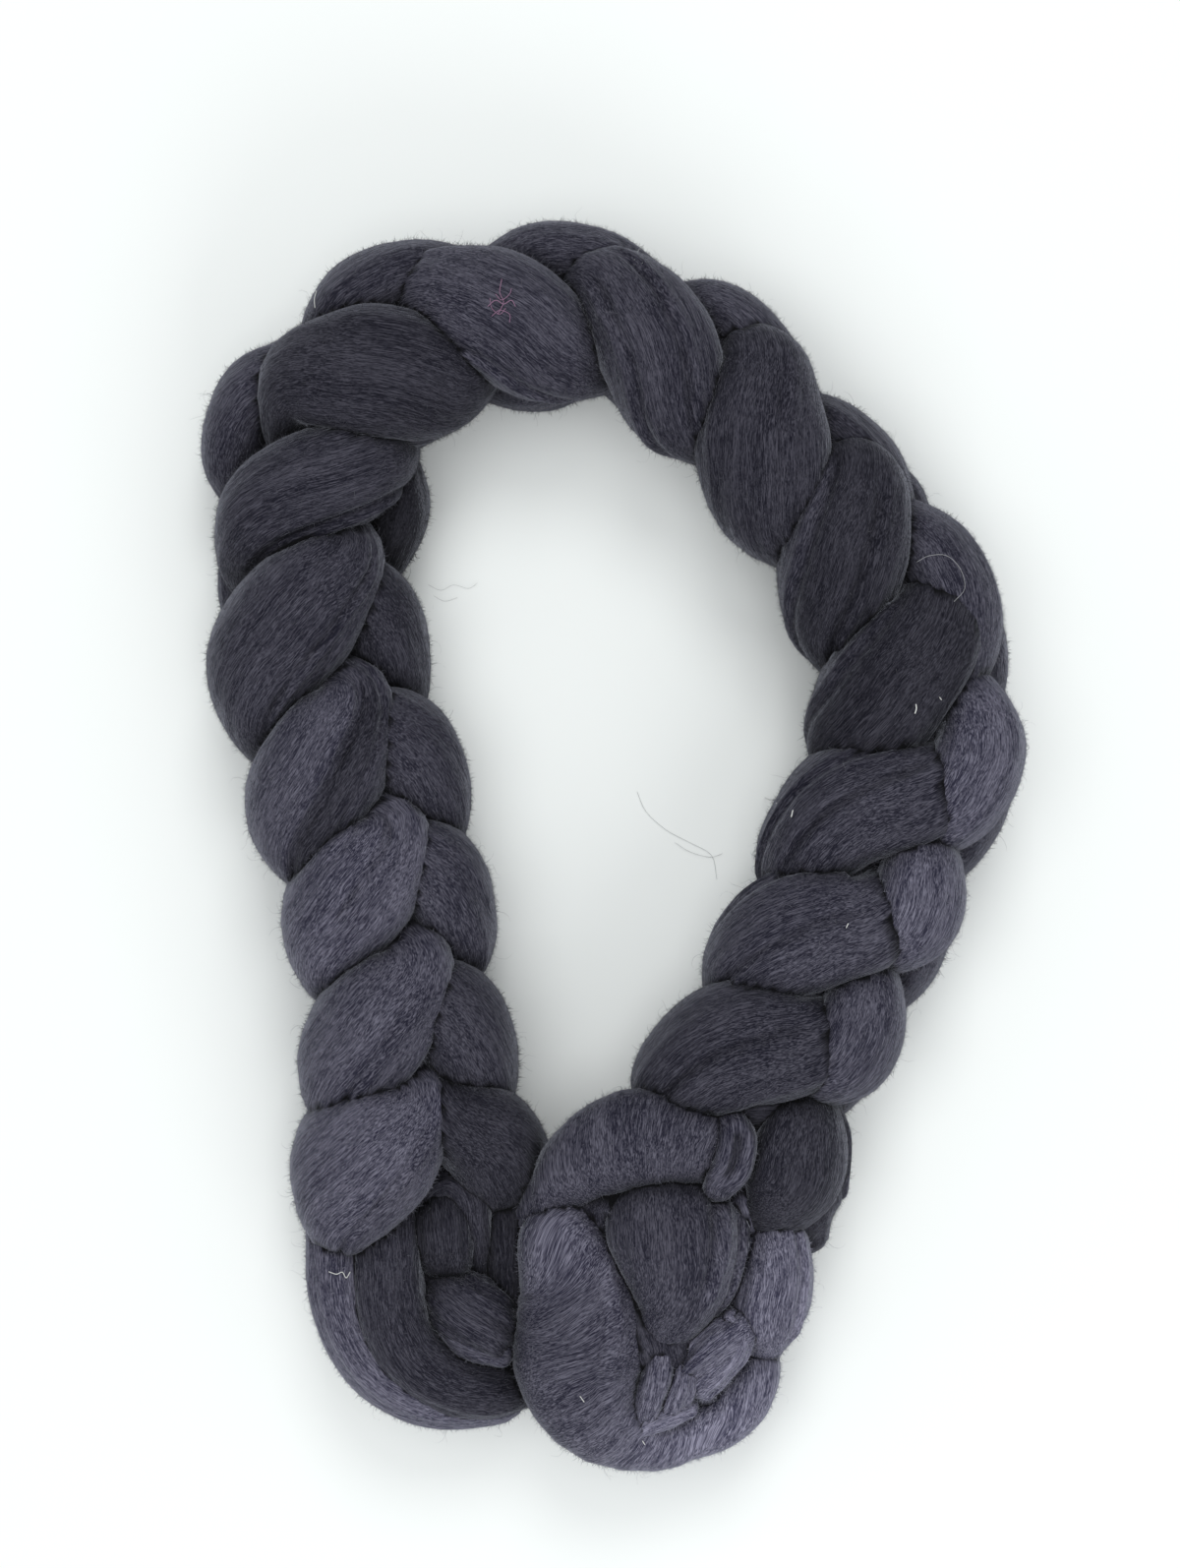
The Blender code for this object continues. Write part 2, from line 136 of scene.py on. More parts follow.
# Where the hand has pulled the strand about: moves one key of one stitch, in mm, and widens it.
PULLED_KEYS = (
    # stitch key   x     y     z   wider
    (8, 1, 0, 3, 0, 1.00),
    (8, 2, 0, 3.5, 0, 1.00),
    (8, 3, 0, 3.5, 0, 1.00),
    (8, 4, 0, 3, 0, 1.00),
    (9, 1, 1, 5, 1.5, 1.00),
    (9, 2, 0.5, 5.5, 3, 1.02),
    (9, 3, 0, 5.5, 3, 1.04),
    (9, 4, 0, 5, 1.5, 1.04),
    (10, 1, 1, 0, -1, 0.95),
    (10, 2, 1, -1, -1, 0.86),
    (10, 3, 1.5, -1, -1, 0.84),
    (10, 4, 2, 2, 0, 0.86),
    (11, 1, 4, 0, 1, 1.00),
    (11, 2, 3, 0, 1, 1.00),
    (12, 1, 4, 0, 1, 1.00),
    (12, 2, 3, 0, 1, 1.00),
    (13, 1, 4.5, 0, 1, 1.00),
    (13, 2, 3.5, 0, 1, 1.00),
    (14, 1, 4, 0, 1, 1.00),
    (14, 2, 3, 0, 1, 1.00),
    (4, 4, 3, 1.5, 1.5, 1.05),
    (3, 4, 2.5, -1.5, 1.5, 1.04),
    (3, 13, 5, 4, 0, 0.95),
    (3, 14, 2.5, 1.5, 0, 1.00),
    (2, 4, 3, -2, 1.5, 1.04),
    (2, 13, 4, 1, 0, 1.00),
    (2, 14, 3, 0, 0, 1.00),
    (1, 2, 0, -1.5, 1, 1.03),
    (1, 3, 1, -2, 1, 1.05),
    (1, 4, 4, -2, 1.5, 1.04),
    (1, 13, 3, -8, -2, 1.00),
    (1, 14, 3, -8, -3, 1.20),
    (1, 15, 2, -5, -3, 1.15),
    (1, 16, 2, -4, -3, 1.10),
    (0, 2, 0, 0, -4, 1.00),
    (0, 3, 0, 0, -7, 0.95),
    (0, 4, -3, 0, -9, 0.90),
    (0, 13, -3, 0, -10, 1.00),
    (0, 14, -3, 0, -10, 1.00),
    (0, 15, -3, 0, -10, 1.00),
    (15, 2, -0.5, 2.5, 0, 1.00),
    (15, 3, -2.5, 7, 0, 1.00),
    (15, 4, -3, 9, 0, 1.00),
    (15, 8, 1, 13, 0, 0.85),
    (15, 9, 1, 9, 0, 0.80),
    (15, 10, 1.5, 6.5, -1, 0.82),
    (15, 11, 1, 3, 0, 0.90),
    (10, 14, -2.5, 0, 0, 1.00),
    (10, 15, -2.5, 0, 0, 1.00),
)

# Folds and loose turns of the two ends: x, y, z, half width, half thickness in mm.
KNOTTED_END_HUB = (8.0, -128.0, -15.0)
KNOTTED_END = {
    "arch": (
        (30.5, -78.5, 34.5, 10.5, 10),
        (19, -76, 38, 12, 11),
        (5.5, -76, 38, 13, 12),
        (-5.5, -80.5, 36, 12, 12),
        (-13.5, -88.5, 32, 9.5, 11),
        (-20.5, -99, 26, 8, 9),
    ),
    "wrap": (
        (-10.5, -95.5, 28.5, 9.5, 8.5),
        (-13, -103.5, 32.5, 13.5, 12),
        (-9.5, -114.5, 33, 17, 13.5),
        (-8.5, -125, 33, 18.5, 15),
        (-9.5, -136.5, 31, 18, 15),
        (-5, -148, 28, 15.5, 14),
        (5, -154.5, 24, 12, 12),
        (17, -154, 22, 10.5, 11),
        (27.5, -148.5, 24, 10, 11.5),
        (33, -139.5, 24.5, 9, 11.5),
        (33.5, -131.5, 22, 6.5, 9),
    ),
    "front_leg": (
        (15.5, -90, 33, 15, 10),
        (15, -97, 37.5, 18.5, 12.5),
        (15.5, -104.5, 39.5, 18, 13.5),
        (15.5, -112, 39.5, 15, 12.5),
        (14, -119, 37.5, 11.5, 11),
        (11, -125.5, 35, 8, 8.5),
    ),
    "side_turn": (
        (37, -95, 30, 6, 8.5),
        (39.5, -103, 30.5, 10, 11),
        (40, -113, 31, 12, 12),
        (38.5, -122, 30, 12, 11.5),
        (37, -129.5, 26.5, 8.5, 9),
    ),
    "rear_turn": (
        (47.5, -66, 27.5, 10, 10.5),
        (49, -76, 28, 11.5, 12),
        (48.5, -86, 28, 12, 12),
        (48, -95, 26.5, 11, 11),
        (49.5, -102, 24, 6.5, 7.5),
    ),
    "core": (
        (-1, -92.5, 31.5, 12, 11),
        (2, -106, 25, 20, 18),
        (8, -122, 25.5, 26, 19),
        (12, -136, 23, 22, 17),
    ),
    "under_turn": (
        (-10, -106, 12, 14, 12),
        (-8, -126, 11, 16, 12),
        (6, -141, 11, 16, 12),
        (22, -134, 11, 15, 12),
        (30, -114, 11, 15, 12),
    ),
    "ear": (
        (28.5, -71, 40, 4.5, 6),
        (30, -76, 43.5, 6, 6.5),
        (29, -82, 44.5, 6, 6.5),
        (26.5, -87, 42, 4.5, 6),
    ),
    "inner_fold": (
        (32, -106, 30, 7, 8),
        (32, -116, 31, 7.5, 8),
        (28, -126, 31, 7.5, 8),
        (22, -134, 30, 8, 8),
        (22, -141, 28, 7, 8),
    ),
    "crook": (
        (43, -67, 36, 6, 7),
        (36, -67.5, 38, 7, 7),
        (29, -69, 36, 6.5, 7),
    ),
    "tuck": (
        (5.5, -151.5, 32, 4, 4),
        (7.5, -145, 35.5, 5, 5),
        (9, -138, 38, 5, 5),
        (10, -132, 37.5, 4.5, 4.5),
    ),
    "tail": (
        (15.5, -139.5, 34.5, 4.5, 4.5),
        (20, -134.5, 37.5, 7, 5.5),
        (26, -129.5, 38.5, 7.5, 5.5),
        (31.5, -126, 37, 5.5, 5),
    ),
}
OPEN_END_HUB = (-48.0, -118.0, -15.0)
OPEN_END = {
    "outer_bight": (
        (-71.5, -95, 26, 11, 11.5),
        (-71, -115, 28, 11, 12),
        (-67.5, -128, 27.5, 11, 12),
        (-59, -138.5, 26.5, 11, 12),
        (-46.5, -144.5, 24, 10, 11),
        (-33, -145.5, 21, 8.5, 10),
    ),
    "inner_bight": (
        (-60.5, -94, 28, 10, 11),
        (-60.5, -108, 31, 9.5, 12),
        (-59.5, -120, 32, 9.5, 12),
        (-55.5, -131, 31, 10, 12),
        (-47, -138.5, 28, 10, 12),
        (-36, -142, 25, 9, 11),
        (-27, -142.5, 21, 7.5, 9),
    ),
    "first_turn": (
        (-46.5, -92, 28, 7, 8),
        (-45.5, -99, 30, 9.5, 9),
        (-45, -107, 28.5, 9, 8.5),
    ),
    "second_turn": (
        (-47.5, -117.5, 26, 7, 8),
        (-41.5, -121.5, 30, 10, 10),
        (-35, -125.5, 29.5, 10, 10),
        (-30, -130.5, 25.5, 7, 8),
    ),
    "over_loop": (
        (-52.5, -97, 29, 3.5, 4),
        (-49.5, -90.5, 31.5, 4.5, 4.5),
        (-43.5, -88, 33, 5, 4.5),
        (-39, -93, 32.5, 5, 4.5),
        (-37.5, -101.5, 30.5, 4.5, 4.5),
        (-36.5, -112, 27, 4, 4),
    ),
    "far_bight": (
        (-31, -88, 22, 8, 9),
        (-30, -104, 24, 8, 10),
        (-29.5, -117, 23, 7.5, 10),
        (-30, -130, 21, 7.5, 10),
        (-31, -140, 18, 8, 9),
    ),
    "under_bight": (
        (-66, -100, 12, 13, 12.5),
        (-64, -122, 11, 14, 12),
        (-50, -137, 11, 14, 12),
        (-38, -124, 11, 14, 12),
        (-38, -102, 12, 14, 12.5),
    ),
    "open_core": (
        (-45, -84, 20, 13, 13),
        (-50, -96, 20, 16, 14),
        (-48, -116, 18, 20, 13),
        (-44, -134, 17, 16, 12),
    ),
}

# Thin lips of wool lying on the folds above, in the same columns.
KNOTTED_END_LIPS = {
    "tail_lip": (
        (29.5, -123, 39, 3.5, 3),
        (32.5, -126.5, 38.5, 4, 3.5),
        (31, -132, 39.5, 4.5, 3.5),
        (26.5, -137, 38.5, 4.5, 3.5),
        (22, -141, 36.5, 4, 3),
    ),
    "tail_wisp": (
        (17.5, -134, 38.5, 4, 3),
        (16, -140, 38, 5, 3.5),
        (14, -146, 35.5, 4.5, 3),
    ),
    "low_lip": (
        (3, -154, 33.5, 3, 2.5),
        (8.5, -150.5, 35.5, 4, 2.5),
        (13.5, -148.5, 36, 4, 2.5),
        (18.5, -146.5, 34.5, 3, 2.5),
    ),
}
OPEN_END_LIPS = {
    "second_lip": (
        (-47.5, -125, 33, 3.5, 3),
        (-42.5, -128.5, 35, 4.5, 3),
        (-36.5, -131.5, 35, 4.5, 3),
        (-30.5, -133.5, 32.5, 3.5, 3),
    ),
}
# Single fibres of another colour caught in the wool or come loose from it:
# colour, half thickness in mm, height over what is beneath in mm, and x, y along it in mm.
STRAYS = (
    ("pink", 0.12, 0.3, ((-28, 145.5), (-28.5, 142), (-27.5, 139.5), (-29, 136.5))),
    ("pink", 0.12, 0.5, ((-31.5, 138.5), (-29.5, 140), (-27.5, 139), (-25.5, 140), (-24.5, 138.5))),
    ("pink", 0.10, 0.4, ((-30.5, 136), (-28.5, 137.5), (-26, 136.5), (-26, 134.5))),
    ("pink", 0.10, 0.6, ((-29.5, 141.5), (-28, 140), (-26, 141.5), (-25.5, 143))),
    ("pink", 0.10, 0.3, ((-31, 140.5), (-30.5, 138), (-28.5, 136.5), (-27, 138))),
    ("pale", 0.10, 0.8, ((-77, 145.5), (-77.3, 143), (-77, 140.5))),
    ("pale", 0.16, 0.4, ((78, 37), (78.1, 35.8), (77.8, 34.8))),
    ("pale", 0.12, 0.3, ((84.3, 38.9), (84.8, 38.3))),
    ("pale", 0.14, 0.3, ((42.8, 12.8), (43.6, 11.6))),
    ("pale", 0.16, 0.3, ((47.2, 9.8), (46.8, 8.2))),
    ("pale", 0.12, 0.3, ((60.5, -19), (60, -20))),
    ("pale", 0.11, 0.4, ((-73.5, -110.5), (-71.5, -111), (-70, -110.5), (-69, -112), (-68, -110.5))),
    ("pale", 0.11, 0.3, ((-8, -141.5), (-7, -143))),
    ("pale", 0.12, 0.3, ((8.3, -155.5), (8.9, -156.5))),
    ("grey", 0.07, 1.2, ((79, 74), (82, 75.5), (86.5, 75.5), (90, 72), (91, 67), (88, 63.5))),
    ("grey", 0.07, 0.6, ((-76, 151), (-73.5, 156), (-70, 159.5), (-66.5, 158.5), (-65, 155))),
    ("grey", 0.04, 0.3, ((7.5, 14.5), (10, 9), (15.5, 4), (22, 0.5), (28, -3), (29.5, -9.5))),
    ("grey", 0.04, 0.5, ((18, 0.5), (22, -2), (27.5, -3.5), (31, -2.5))),
    ("grey", 0.035, 0.4, ((-50, 71.5), (-46.5, 70), (-43, 71.5), (-39, 70.5), (-36.5, 72))),
    ("grey", 0.035, 0.3, ((-48.5, 68.5), (-45.5, 67), (-42, 68))),
    ("grey", 0.07, 0.5, ((8, 151), (10, 155.5), (13, 157.5), (12.5, 154), (9.5, 153))),
    ("grey", 0.07, 0.5, ((6, 152), (8, 157.5), (11, 156.5))),
)
STRAYS_FROM = (-1.8, -0.1)   # mm, the place in the loop that the strays' x and y are measured from
STRAY_COLOURS = {
    "pink": (0.230, 0.120, 0.200, 1.0),
    "pale": (0.700, 0.700, 0.680, 1.0),
    "grey": (0.300, 0.300, 0.310, 1.0),
}
# How ragged the loose wool is, 1.0 being the usual.
RAGGED = {"tail": 3.0, "tail_lip": 3.2, "tail_wisp": 3.2, "tuck": 2.2, "first_turn": 2.6,
          "second_turn": 2.4, "second_lip": 2.0, "over_loop": 1.4, "low_lip": 2.0}

# How far the combing leans from the strand's own line, in degrees, at each row of a fold.
LEANING = {
    "arch": (75, 78, 80, 70, 55, 45),
    "wrap": (-48, -54, -60, -63, -68, -84, -104, -122, -142, -165, -175),
}

# How light the wool is painted on each part of each stitch, 1.0 being the usual charcoal, a painted
# light and shade for how the light falls on it; and how many times the usual twist its showing leg has.
PAINTED_LIGHT_AND_TWIST = (
    # leg   far   bump  twist
    (1.10, 1.00, 1.90, 1.8),
    (0.84, 1.00, 0.66, 2.2),
    (1.12, 1.10, 1.35, 2.2),
    (0.94, 1.10, 1.85, 2.2),
    (0.52, 1.00, 1.80, 1.6),
    (0.56, 0.95, 1.10, 1.0),
    (0.70, 0.95, 0.74, 1.0),
    (0.90, 0.95, 1.00, 1.0),
    (1.06, 0.95, 0.94, 1.0),
    (0.62, 0.95, 0.88, 1.0),
    (0.74, 0.30, 1.05, 1.0),
    (0.84, 0.68, 0.95, 1.0),
    (1.40, 0.90, 1.00, 1.0),
    (1.80, 1.12, 1.00, 1.0),
    (1.50, 0.90, 1.00, 1.0),
    (1.78, 0.64, 1.00, 1.0),
)
# How light each fold of an end is painted, evenly from its start to its stop, and where none is told: a
# painted light and shade for how the light falls on each fold.
USUAL_END_PAINTED_LIGHTNESS = (0.8, 0.8)
END_PAINTED_LIGHTNESS = {
    "arch": (1.20, 1.35), "wrap": (2.90, 1.75, 1.30, 1.70, 3.10, 3.30, 2.10),
    "front_leg": (0.90, 1.25), "side_turn": (2.40, 2.60), "ear": (1.35, 1.55), "inner_fold": (1.90, 1.60),
    "rear_turn": (0.65, 0.65), "tuck": (2.30, 2.00), "tail": (2.10, 2.50),
    "outer_bight": (1.80, 2.20), "inner_bight": (0.80, 0.68), "first_turn": (0.60, 0.60),
    "second_turn": (0.88, 0.88), "far_bight": (0.50, 0.50), "tail_lip": (3.00, 2.80),
    "tail_wisp": (2.50, 2.30), "low_lip": (3.00, 3.00), "over_loop": (0.85, 0.60),
    "second_lip": (1.40, 1.40), "crook": (0.60, 0.60),
}


# ---------------------------------------------------------------- the strand's line
# A key of a strand is a row: its place (columns 0 to 2), the way that faces outward (3 to 5), half
# width (6), half thickness (7), painted light and shade (8), number (9), twist (10) and lean of the combing
# (11).


def through(rows, t):
    """Smooth line through a table of rows, read at t rows from its start."""
    last = len(rows) - 1
    if t <= 0.0:
        return rows[0] + (rows[1] - rows[0]) * t
    if t >= last:
        return rows[last] + (rows[last] - rows[last - 1]) * (t - last)
    i = int(t)
    f = t - i
    before = rows[i - 1] if i > 0 else 2.0 * rows[0] - rows[1]
    after = rows[i + 2] if i + 2 <= last else 2.0 * rows[last] - rows[last - 1]
    here = rows[i]
    there = rows[i + 1]
    return 0.5 * (
        2.0 * here
        + (there - before) * f
        + (2.0 * before - 5.0 * here + 4.0 * there - after) * f * f
        + (3.0 * here - before - 3.0 * there + after) * f * f * f
    )


def unit(vectors):
    length = np.linalg.norm(vectors, axis=-1, keepdims=True)
    return vectors / np.maximum(length, 1e-9)


def stitch_key(table, stitch, key):
    """One key of the strand: position, outward direction, half width, half thickness."""
    along, turn, reach, half_w, half_t, part, _ = key
    t = stitch + along - SHOW_AT
    x, y, roll, size, leg, back = through(table, t)
    ahead = through(table, t + AHEAD_STEP)[:2] - through(table, t - AHEAD_STEP)[:2]
    ahead = ahead / np.linalg.norm(ahead)
    right = np.array([ahead[1], -ahead[0]])
    angle = math.radians(turn - roll)
    out = np.array([right[0] * math.sin(angle), right[1] * math.sin(angle), math.cos(angle)])
    thick = PITCH * size
    if part in ("bump", "far"):
        reach = reach * back
    if part == "leg":
        half_w = half_w * leg
    distance = thick * reach
    centre = np.array([x * MM, y * MM, REST_HEIGHT]) + out * distance
    centre[2] = REST_HEIGHT + (centre[2] - REST_HEIGHT) * SAG
    return np.concatenate([centre, out, [half_w * thick, half_t * thick]])


def placed(points):
    """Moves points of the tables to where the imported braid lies."""
    middle_x, middle_y, _ = (np.array(braid_low) + np.array(braid_high)) / 2.0
    table_x, table_y = OUTLINE_MIDDLE
    return points + np.array([middle_x - table_x * MM, middle_y - table_y * MM, braid_low[2]])


def plait_keys(first, last):
    """Keys of the strand over some stitches, with the painted light and shade and the twist of each."""
    table = np.array(STITCHES, float)
    pulled = {(stitch, key): pull for stitch, key, *pull in PULLED_KEYS}
    keys = []
    for stitch in range(first, last):
        # painted light and shade of the stitch's leg, far side and bump, and its leg's twist
        leg, far, bump, leg_twist = PAINTED_LIGHT_AND_TWIST[stitch]
        lights = {"leg": leg, "head": leg, "far": far, "bump": bump}
        for number, key in enumerate(STITCH_KEYS):
            *_, part, turned = key
            row = stitch_key(table, stitch, key)
            x, y, z, wider = pulled.get((stitch, number), (0.0, 0.0, 0.0, 1.0))
            row[0:3] += np.array([x, y, z]) * MM
            row[6] *= wider
            row[0:3] = placed(row[0:3])
            twist = math.radians(turned) * (leg_twist if part == "leg" else 1.0)
            keys.append(np.concatenate([row, [lights[part], stitch * KEYS + number, twist, 0.0]]))
    return np.array(keys)


def turn_keys(rows, hub, lights, number, leaning):
    """Keys of one fold of an end, its broad side facing away from the hub of that end."""
    keys = []
    for step, (x, y, z, half_w, half_t) in enumerate(rows):
        light = np.interp(step / (len(rows) - 1), np.linspace(0.0, 1.0, len(lights)), lights)
        centre = np.array([x, y, z]) * MM
        out = unit(centre - np.array(hub) * MM)
        lean = math.radians(leaning[step]) if leaning else 0.0
        looks = [light, number + step, 0.0, lean]
        keys.append(np.concatenate([placed(centre), out, [half_w * MM, half_t * MM], looks]))
    return np.array(keys)


# ---------------------------------------------------------------- building node trees
def feed(tree, node, sockets):
    """Links each of a node's inputs, told by name or number, or gives it a value."""
    for label, value in sockets.items():
        if isinstance(value, bpy.types.NodeSocket):
            tree.links.new(value, node.inputs[label])
        else:
            node.inputs[label].default_value = value


def add_node(tree, kind, sockets=None, **settings):
    node = tree.nodes.new(kind)
    for label, value in settings.items():
        setattr(node, label, value)
    feed(tree, node, sockets or {})
    return node


def maths(tree, operation, *values):
    return add_node(tree, "ShaderNodeMath", dict(enumerate(values)), operation=operation).outputs["Value"]


def vector_maths(tree, operation, *vectors, scale=None):
    sockets = dict(enumerate(vectors))
    if scale is not None:
        sockets["Scale"] = scale
    node = add_node(tree, "ShaderNodeVectorMath", sockets, operation=operation)
    return node.outputs["Value" if operation == "LENGTH" else "Vector"]


def drawn_out_noise(tree, place, shape, scale, detail):
    """Noise over the strand, drawn out along it where the first part of its shape is small."""
    squeezed = vector_maths(tree, "MULTIPLY", place, shape)
    sockets = {"Vector": squeezed, "Scale": scale, "Detail": detail}
    return add_node(tree, "ShaderNodeTexNoise", sockets).outputs["Fac"]


def ranged(tree, value, low, high, to_low=0.0, to_high=1.0):
    sockets = {"Value": value, "From Min": low, "From Max": high, "To Min": to_low, "To Max": to_high}
    return add_node(tree, "ShaderNodeMapRange", sockets).outputs["Result"]


def new_tree(name, inputs, result):
    """A geometry tree with named inputs and one geometry output, with its two ends."""
    tree = bpy.data.node_groups.new(name, "GeometryNodeTree")
    for label, kind in inputs.items():
        tree.interface.new_socket(label, in_out="INPUT", socket_type="NodeSocket" + kind)
    tree.interface.new_socket(result, in_out="OUTPUT", socket_type="NodeSocketGeometry")
    return tree, tree.nodes.new("NodeGroupInput").outputs, tree.nodes.new("NodeGroupOutput")


def named(tree, label, kind="FLOAT"):
    """Reads one of the wool's own attributes in a geometry tree."""
    node = add_node(tree, "GeometryNodeInputNamedAttribute", {"Name": label}, data_type=kind)
    return node.outputs["Attribute"]


def passed(tree, kind, geometry, sockets=None, **settings):
    """Passes a geometry through one more node."""
    return add_node(tree, kind, {"Geometry": geometry, **(sockets or {})}, **settings).outputs["Geometry"]


def stored(tree, geometry, label, value, kind="FLOAT", domain="POINT"):
    """Stores a value on a geometry under a name."""
    sockets = {"Name": label, "Value": value}
    return passed(tree, "GeometryNodeStoreNamedAttribute", geometry, sockets, data_type=kind, domain=domain)


def set_inputs(modifier, values):
    """Sets a geometry tree's inputs by their names."""
    for item in modifier.node_group.interface.items_tree:
        if item.item_type == "SOCKET" and item.in_out == "INPUT" and item.name in values:
            modifier[item.identifier] = values[item.name]


def grown(obj, tree, values):
    """Runs a geometry tree on a piece and keeps its result as a plain mesh."""
    bpy.context.scene.collection.objects.link(obj)
    modifier = obj.modifiers.new("grow", "NODES")
    modifier.node_group = tree
    set_inputs(modifier, values)
    graph = bpy.context.evaluated_depsgraph_get()
    mesh = bpy.data.meshes.new_from_object(obj.evaluated_get(graph), depsgraph=graph)
    mesh.name = obj.name
    obj.modifiers.clear()
    old = obj.data
    obj.data = mesh
    bpy.data.meshes.remove(old)
    return obj


# ---------------------------------------------------------------- sweeping the strand
# Unevenness of the swept strand: its two inputs and its shape, small where it is drawn out.
UNEVENNESS = (
    ("Rib", (0.07, 1.0, 1.0)),
    ("Lump", (1.0, 1.0, 1.0)),
    ("Tuft", (0.5, 1.0, 1.0)),
)
GIRTH_SHARE = 0.9          # way round the ring for one radian, in half widths
DOME = ((0.10, 1.00), (0.38, 0.92), (0.70, 0.70), (0.92, 0.35))   # share of the ring, reach of the dome
SOFTENINGS = 3             # times that a strand's outward direction is softened along it


def sweep_tree():
    """Sweeps an oval ring along a path whose points carry the ring's two half axes.

    fibre_place is a point's place in the strand: metres along it, across it and through it.
    """
    scales = {f"{kind} {what}": "Float" for kind, _ in UNEVENNESS for what in ("Height", "Scale")}
    inputs = {"Path": "Geometry", "Corners": "Int", **scales, "Wool": "Material"}
    tree, given, out = new_tree("sweep_wool_strand", inputs, "Strand")
    calc = partial(maths, tree)
    vectors = partial(vector_maths, tree)
    curve = add_node(tree, "GeometryNodeMeshToCurve", {"Mesh": given["Path"]})
    ring = add_node(
        tree, "GeometryNodeCurvePrimitiveCircle", {"Resolution": given["Corners"], "Radius": 1.0 * MM}
    )
    index = add_node(tree, "GeometryNodeInputIndex").outputs["Index"]
    turn = calc("MULTIPLY", calc("DIVIDE", index, given["Corners"]), 2.0 * math.pi)
    profile = stored(tree, ring.outputs["Curve"], "turn", turn)
    sockets = {"Curve": curve.outputs["Curve"], "Profile Curve": profile, "Fill Caps": True}
    sweep = add_node(tree, "GeometryNodeCurveToMesh", sockets)

    angle = named(tree, "turn")
    twisted = calc("ADD", angle, named(tree, "twist"))
    across = named(tree, "across", "FLOAT_VECTOR")
    deep = named(tree, "deep", "FLOAT_VECTOR")
    aside = vectors("SCALE", across, scale=calc("SINE", twisted))
    below = vectors("SCALE", deep, scale=calc("MULTIPLY", calc("COSINE", twisted), -1.0))
    offset = vectors("ADD", aside, below)

    half_w = vectors("LENGTH", across)
    half_t = vectors("LENGTH", deep)
    lean_sine = calc("SINE", named(tree, "lean"))
    lean_cosine = calc("COSINE", named(tree, "lean"))
    girth = calc("MULTIPLY", calc("SUBTRACT", angle, math.pi), calc("MULTIPLY", half_w, GIRTH_SHARE))
    level = calc("MULTIPLY", half_w, calc("SINE", angle))
    combed = calc("SUBTRACT", named(tree, "along"), calc("MULTIPLY", girth, lean_sine))
    drifted = calc("ADD", named(tree, "drift"), calc("MULTIPLY", level, lean_cosine))
    depth = calc("MULTIPLY", calc("MULTIPLY", half_t, calc("COSINE", angle)), lean_cosine)
    sockets = {"X": calc("ADD", combed, named(tree, "start")), "Y": drifted, "Z": depth}
    place = add_node(tree, "ShaderNodeCombineXYZ", sockets).outputs["Vector"]

    bumps = 0.0
    for kind, shape in UNEVENNESS:
        noise = drawn_out_noise(tree, place, shape, given[kind + " Scale"], 2.0)
        rise = calc("MULTIPLY", calc("SUBTRACT", noise, 0.5), given[kind + " Height"])
        bumps = calc("ADD", bumps, rise)
    raised = calc("MULTIPLY", bumps, named(tree, "fullness"))
    swollen = vectors("ADD", offset, vectors("SCALE", vectors("NORMALIZE", offset), scale=raised))

    position = vectors("ADD", named(tree, "middle", "FLOAT_VECTOR"), swollen)
    strand = passed(tree, "GeometryNodeSetPosition", sweep.outputs["Mesh"], {"Position": position})
    strand = stored(tree, strand, "fibre_place", place, "FLOAT_VECTOR")
    strand = passed(tree, "GeometryNodeRealizeInstances", strand)
    strand = passed(tree, "GeometryNodeSetShadeSmooth", strand)
    strand = passed(tree, "GeometryNodeSetMaterial", strand, {"Material": given["Wool"]})
    feed(tree, out, {"Strand": strand})
    return tree


def path_rows(keys, steps, start):
    """Rows of a strand's path with domed ends, for the sweep."""
    count = (len(keys) - 1) * steps + 1
    line = np.array([through(keys, i / steps) for i in range(count)])
    centre = line[:, 0:3]
    ahead = unit(np.gradient(centre, axis=0))
    out = line[:, 3:6]
    for _ in range(SOFTENINGS):
        out = unit(out - np.sum(out * ahead, axis=1, keepdims=True) * ahead)
        soft = out.copy()
        soft[1:-1] = 0.25 * out[:-2] + 0.5 * out[1:-1] + 0.25 * out[2:]
        out = soft
    out = unit(out - np.sum(out * ahead, axis=1, keepdims=True) * ahead)
    side = np.cross(ahead, out)
    rows = {
        "middle": centre, "ahead": ahead, "across": side * line[:, 6:7], "deep": out * line[:, 7:8],
        "lightness": line[:, 8], "key": line[:, 9], "twist": line[:, 10], "lean": line[:, 11],
        "fullness": np.ones(count),
    }
    for end, way in ((0, -1.0), (-1, 1.0)):
        size = 0.5 * (line[end, 6] + line[end, 7])
        dome = {name: [values[end]] * len(DOME) for name, values in rows.items()}
        dome["middle"] = [centre[end] + ahead[end] * way * size * reach for _, reach in DOME]
        dome["across"] = [rows["across"][end] * share for share, _ in DOME]
        dome["deep"] = [rows["deep"][end] * share for share, _ in DOME]
        dome["fullness"] = [share for share, _ in DOME]
        for name in rows:
            added = np.array(dome[name])
            pair = [added, rows[name]] if end == 0 else [rows[name], added[::-1]]
            rows[name] = np.concatenate(pair)
    steps_between = np.linalg.norm(np.diff(rows["middle"], axis=0), axis=1)
    lean = 0.5 * (rows["lean"][1:] + rows["lean"][:-1])
    rows["along"] = np.concatenate([[0.0], np.cumsum(steps_between * np.cos(lean))])
    rows["drift"] = np.concatenate([[0.0], np.cumsum(steps_between * np.sin(lean))])
    rows["start"] = np.full(len(rows["along"]), start)
    return rows


def write_attribute(mesh, name, values):
    kind, label = ("FLOAT_VECTOR", "vector") if values.ndim == 2 else ("FLOAT", "value")
    attribute = mesh.attributes.new(name, kind, "POINT")
    attribute.data.foreach_set(label, values.astype(np.float32).ravel())


def read_attribute(mesh, name, width=1):
    values = np.zeros(len(mesh.vertices) * width, np.float32)
    mesh.attributes[name].data.foreach_get("vector" if width == 3 else "value", values)
    return values.reshape(-1, width) if width > 1 else values


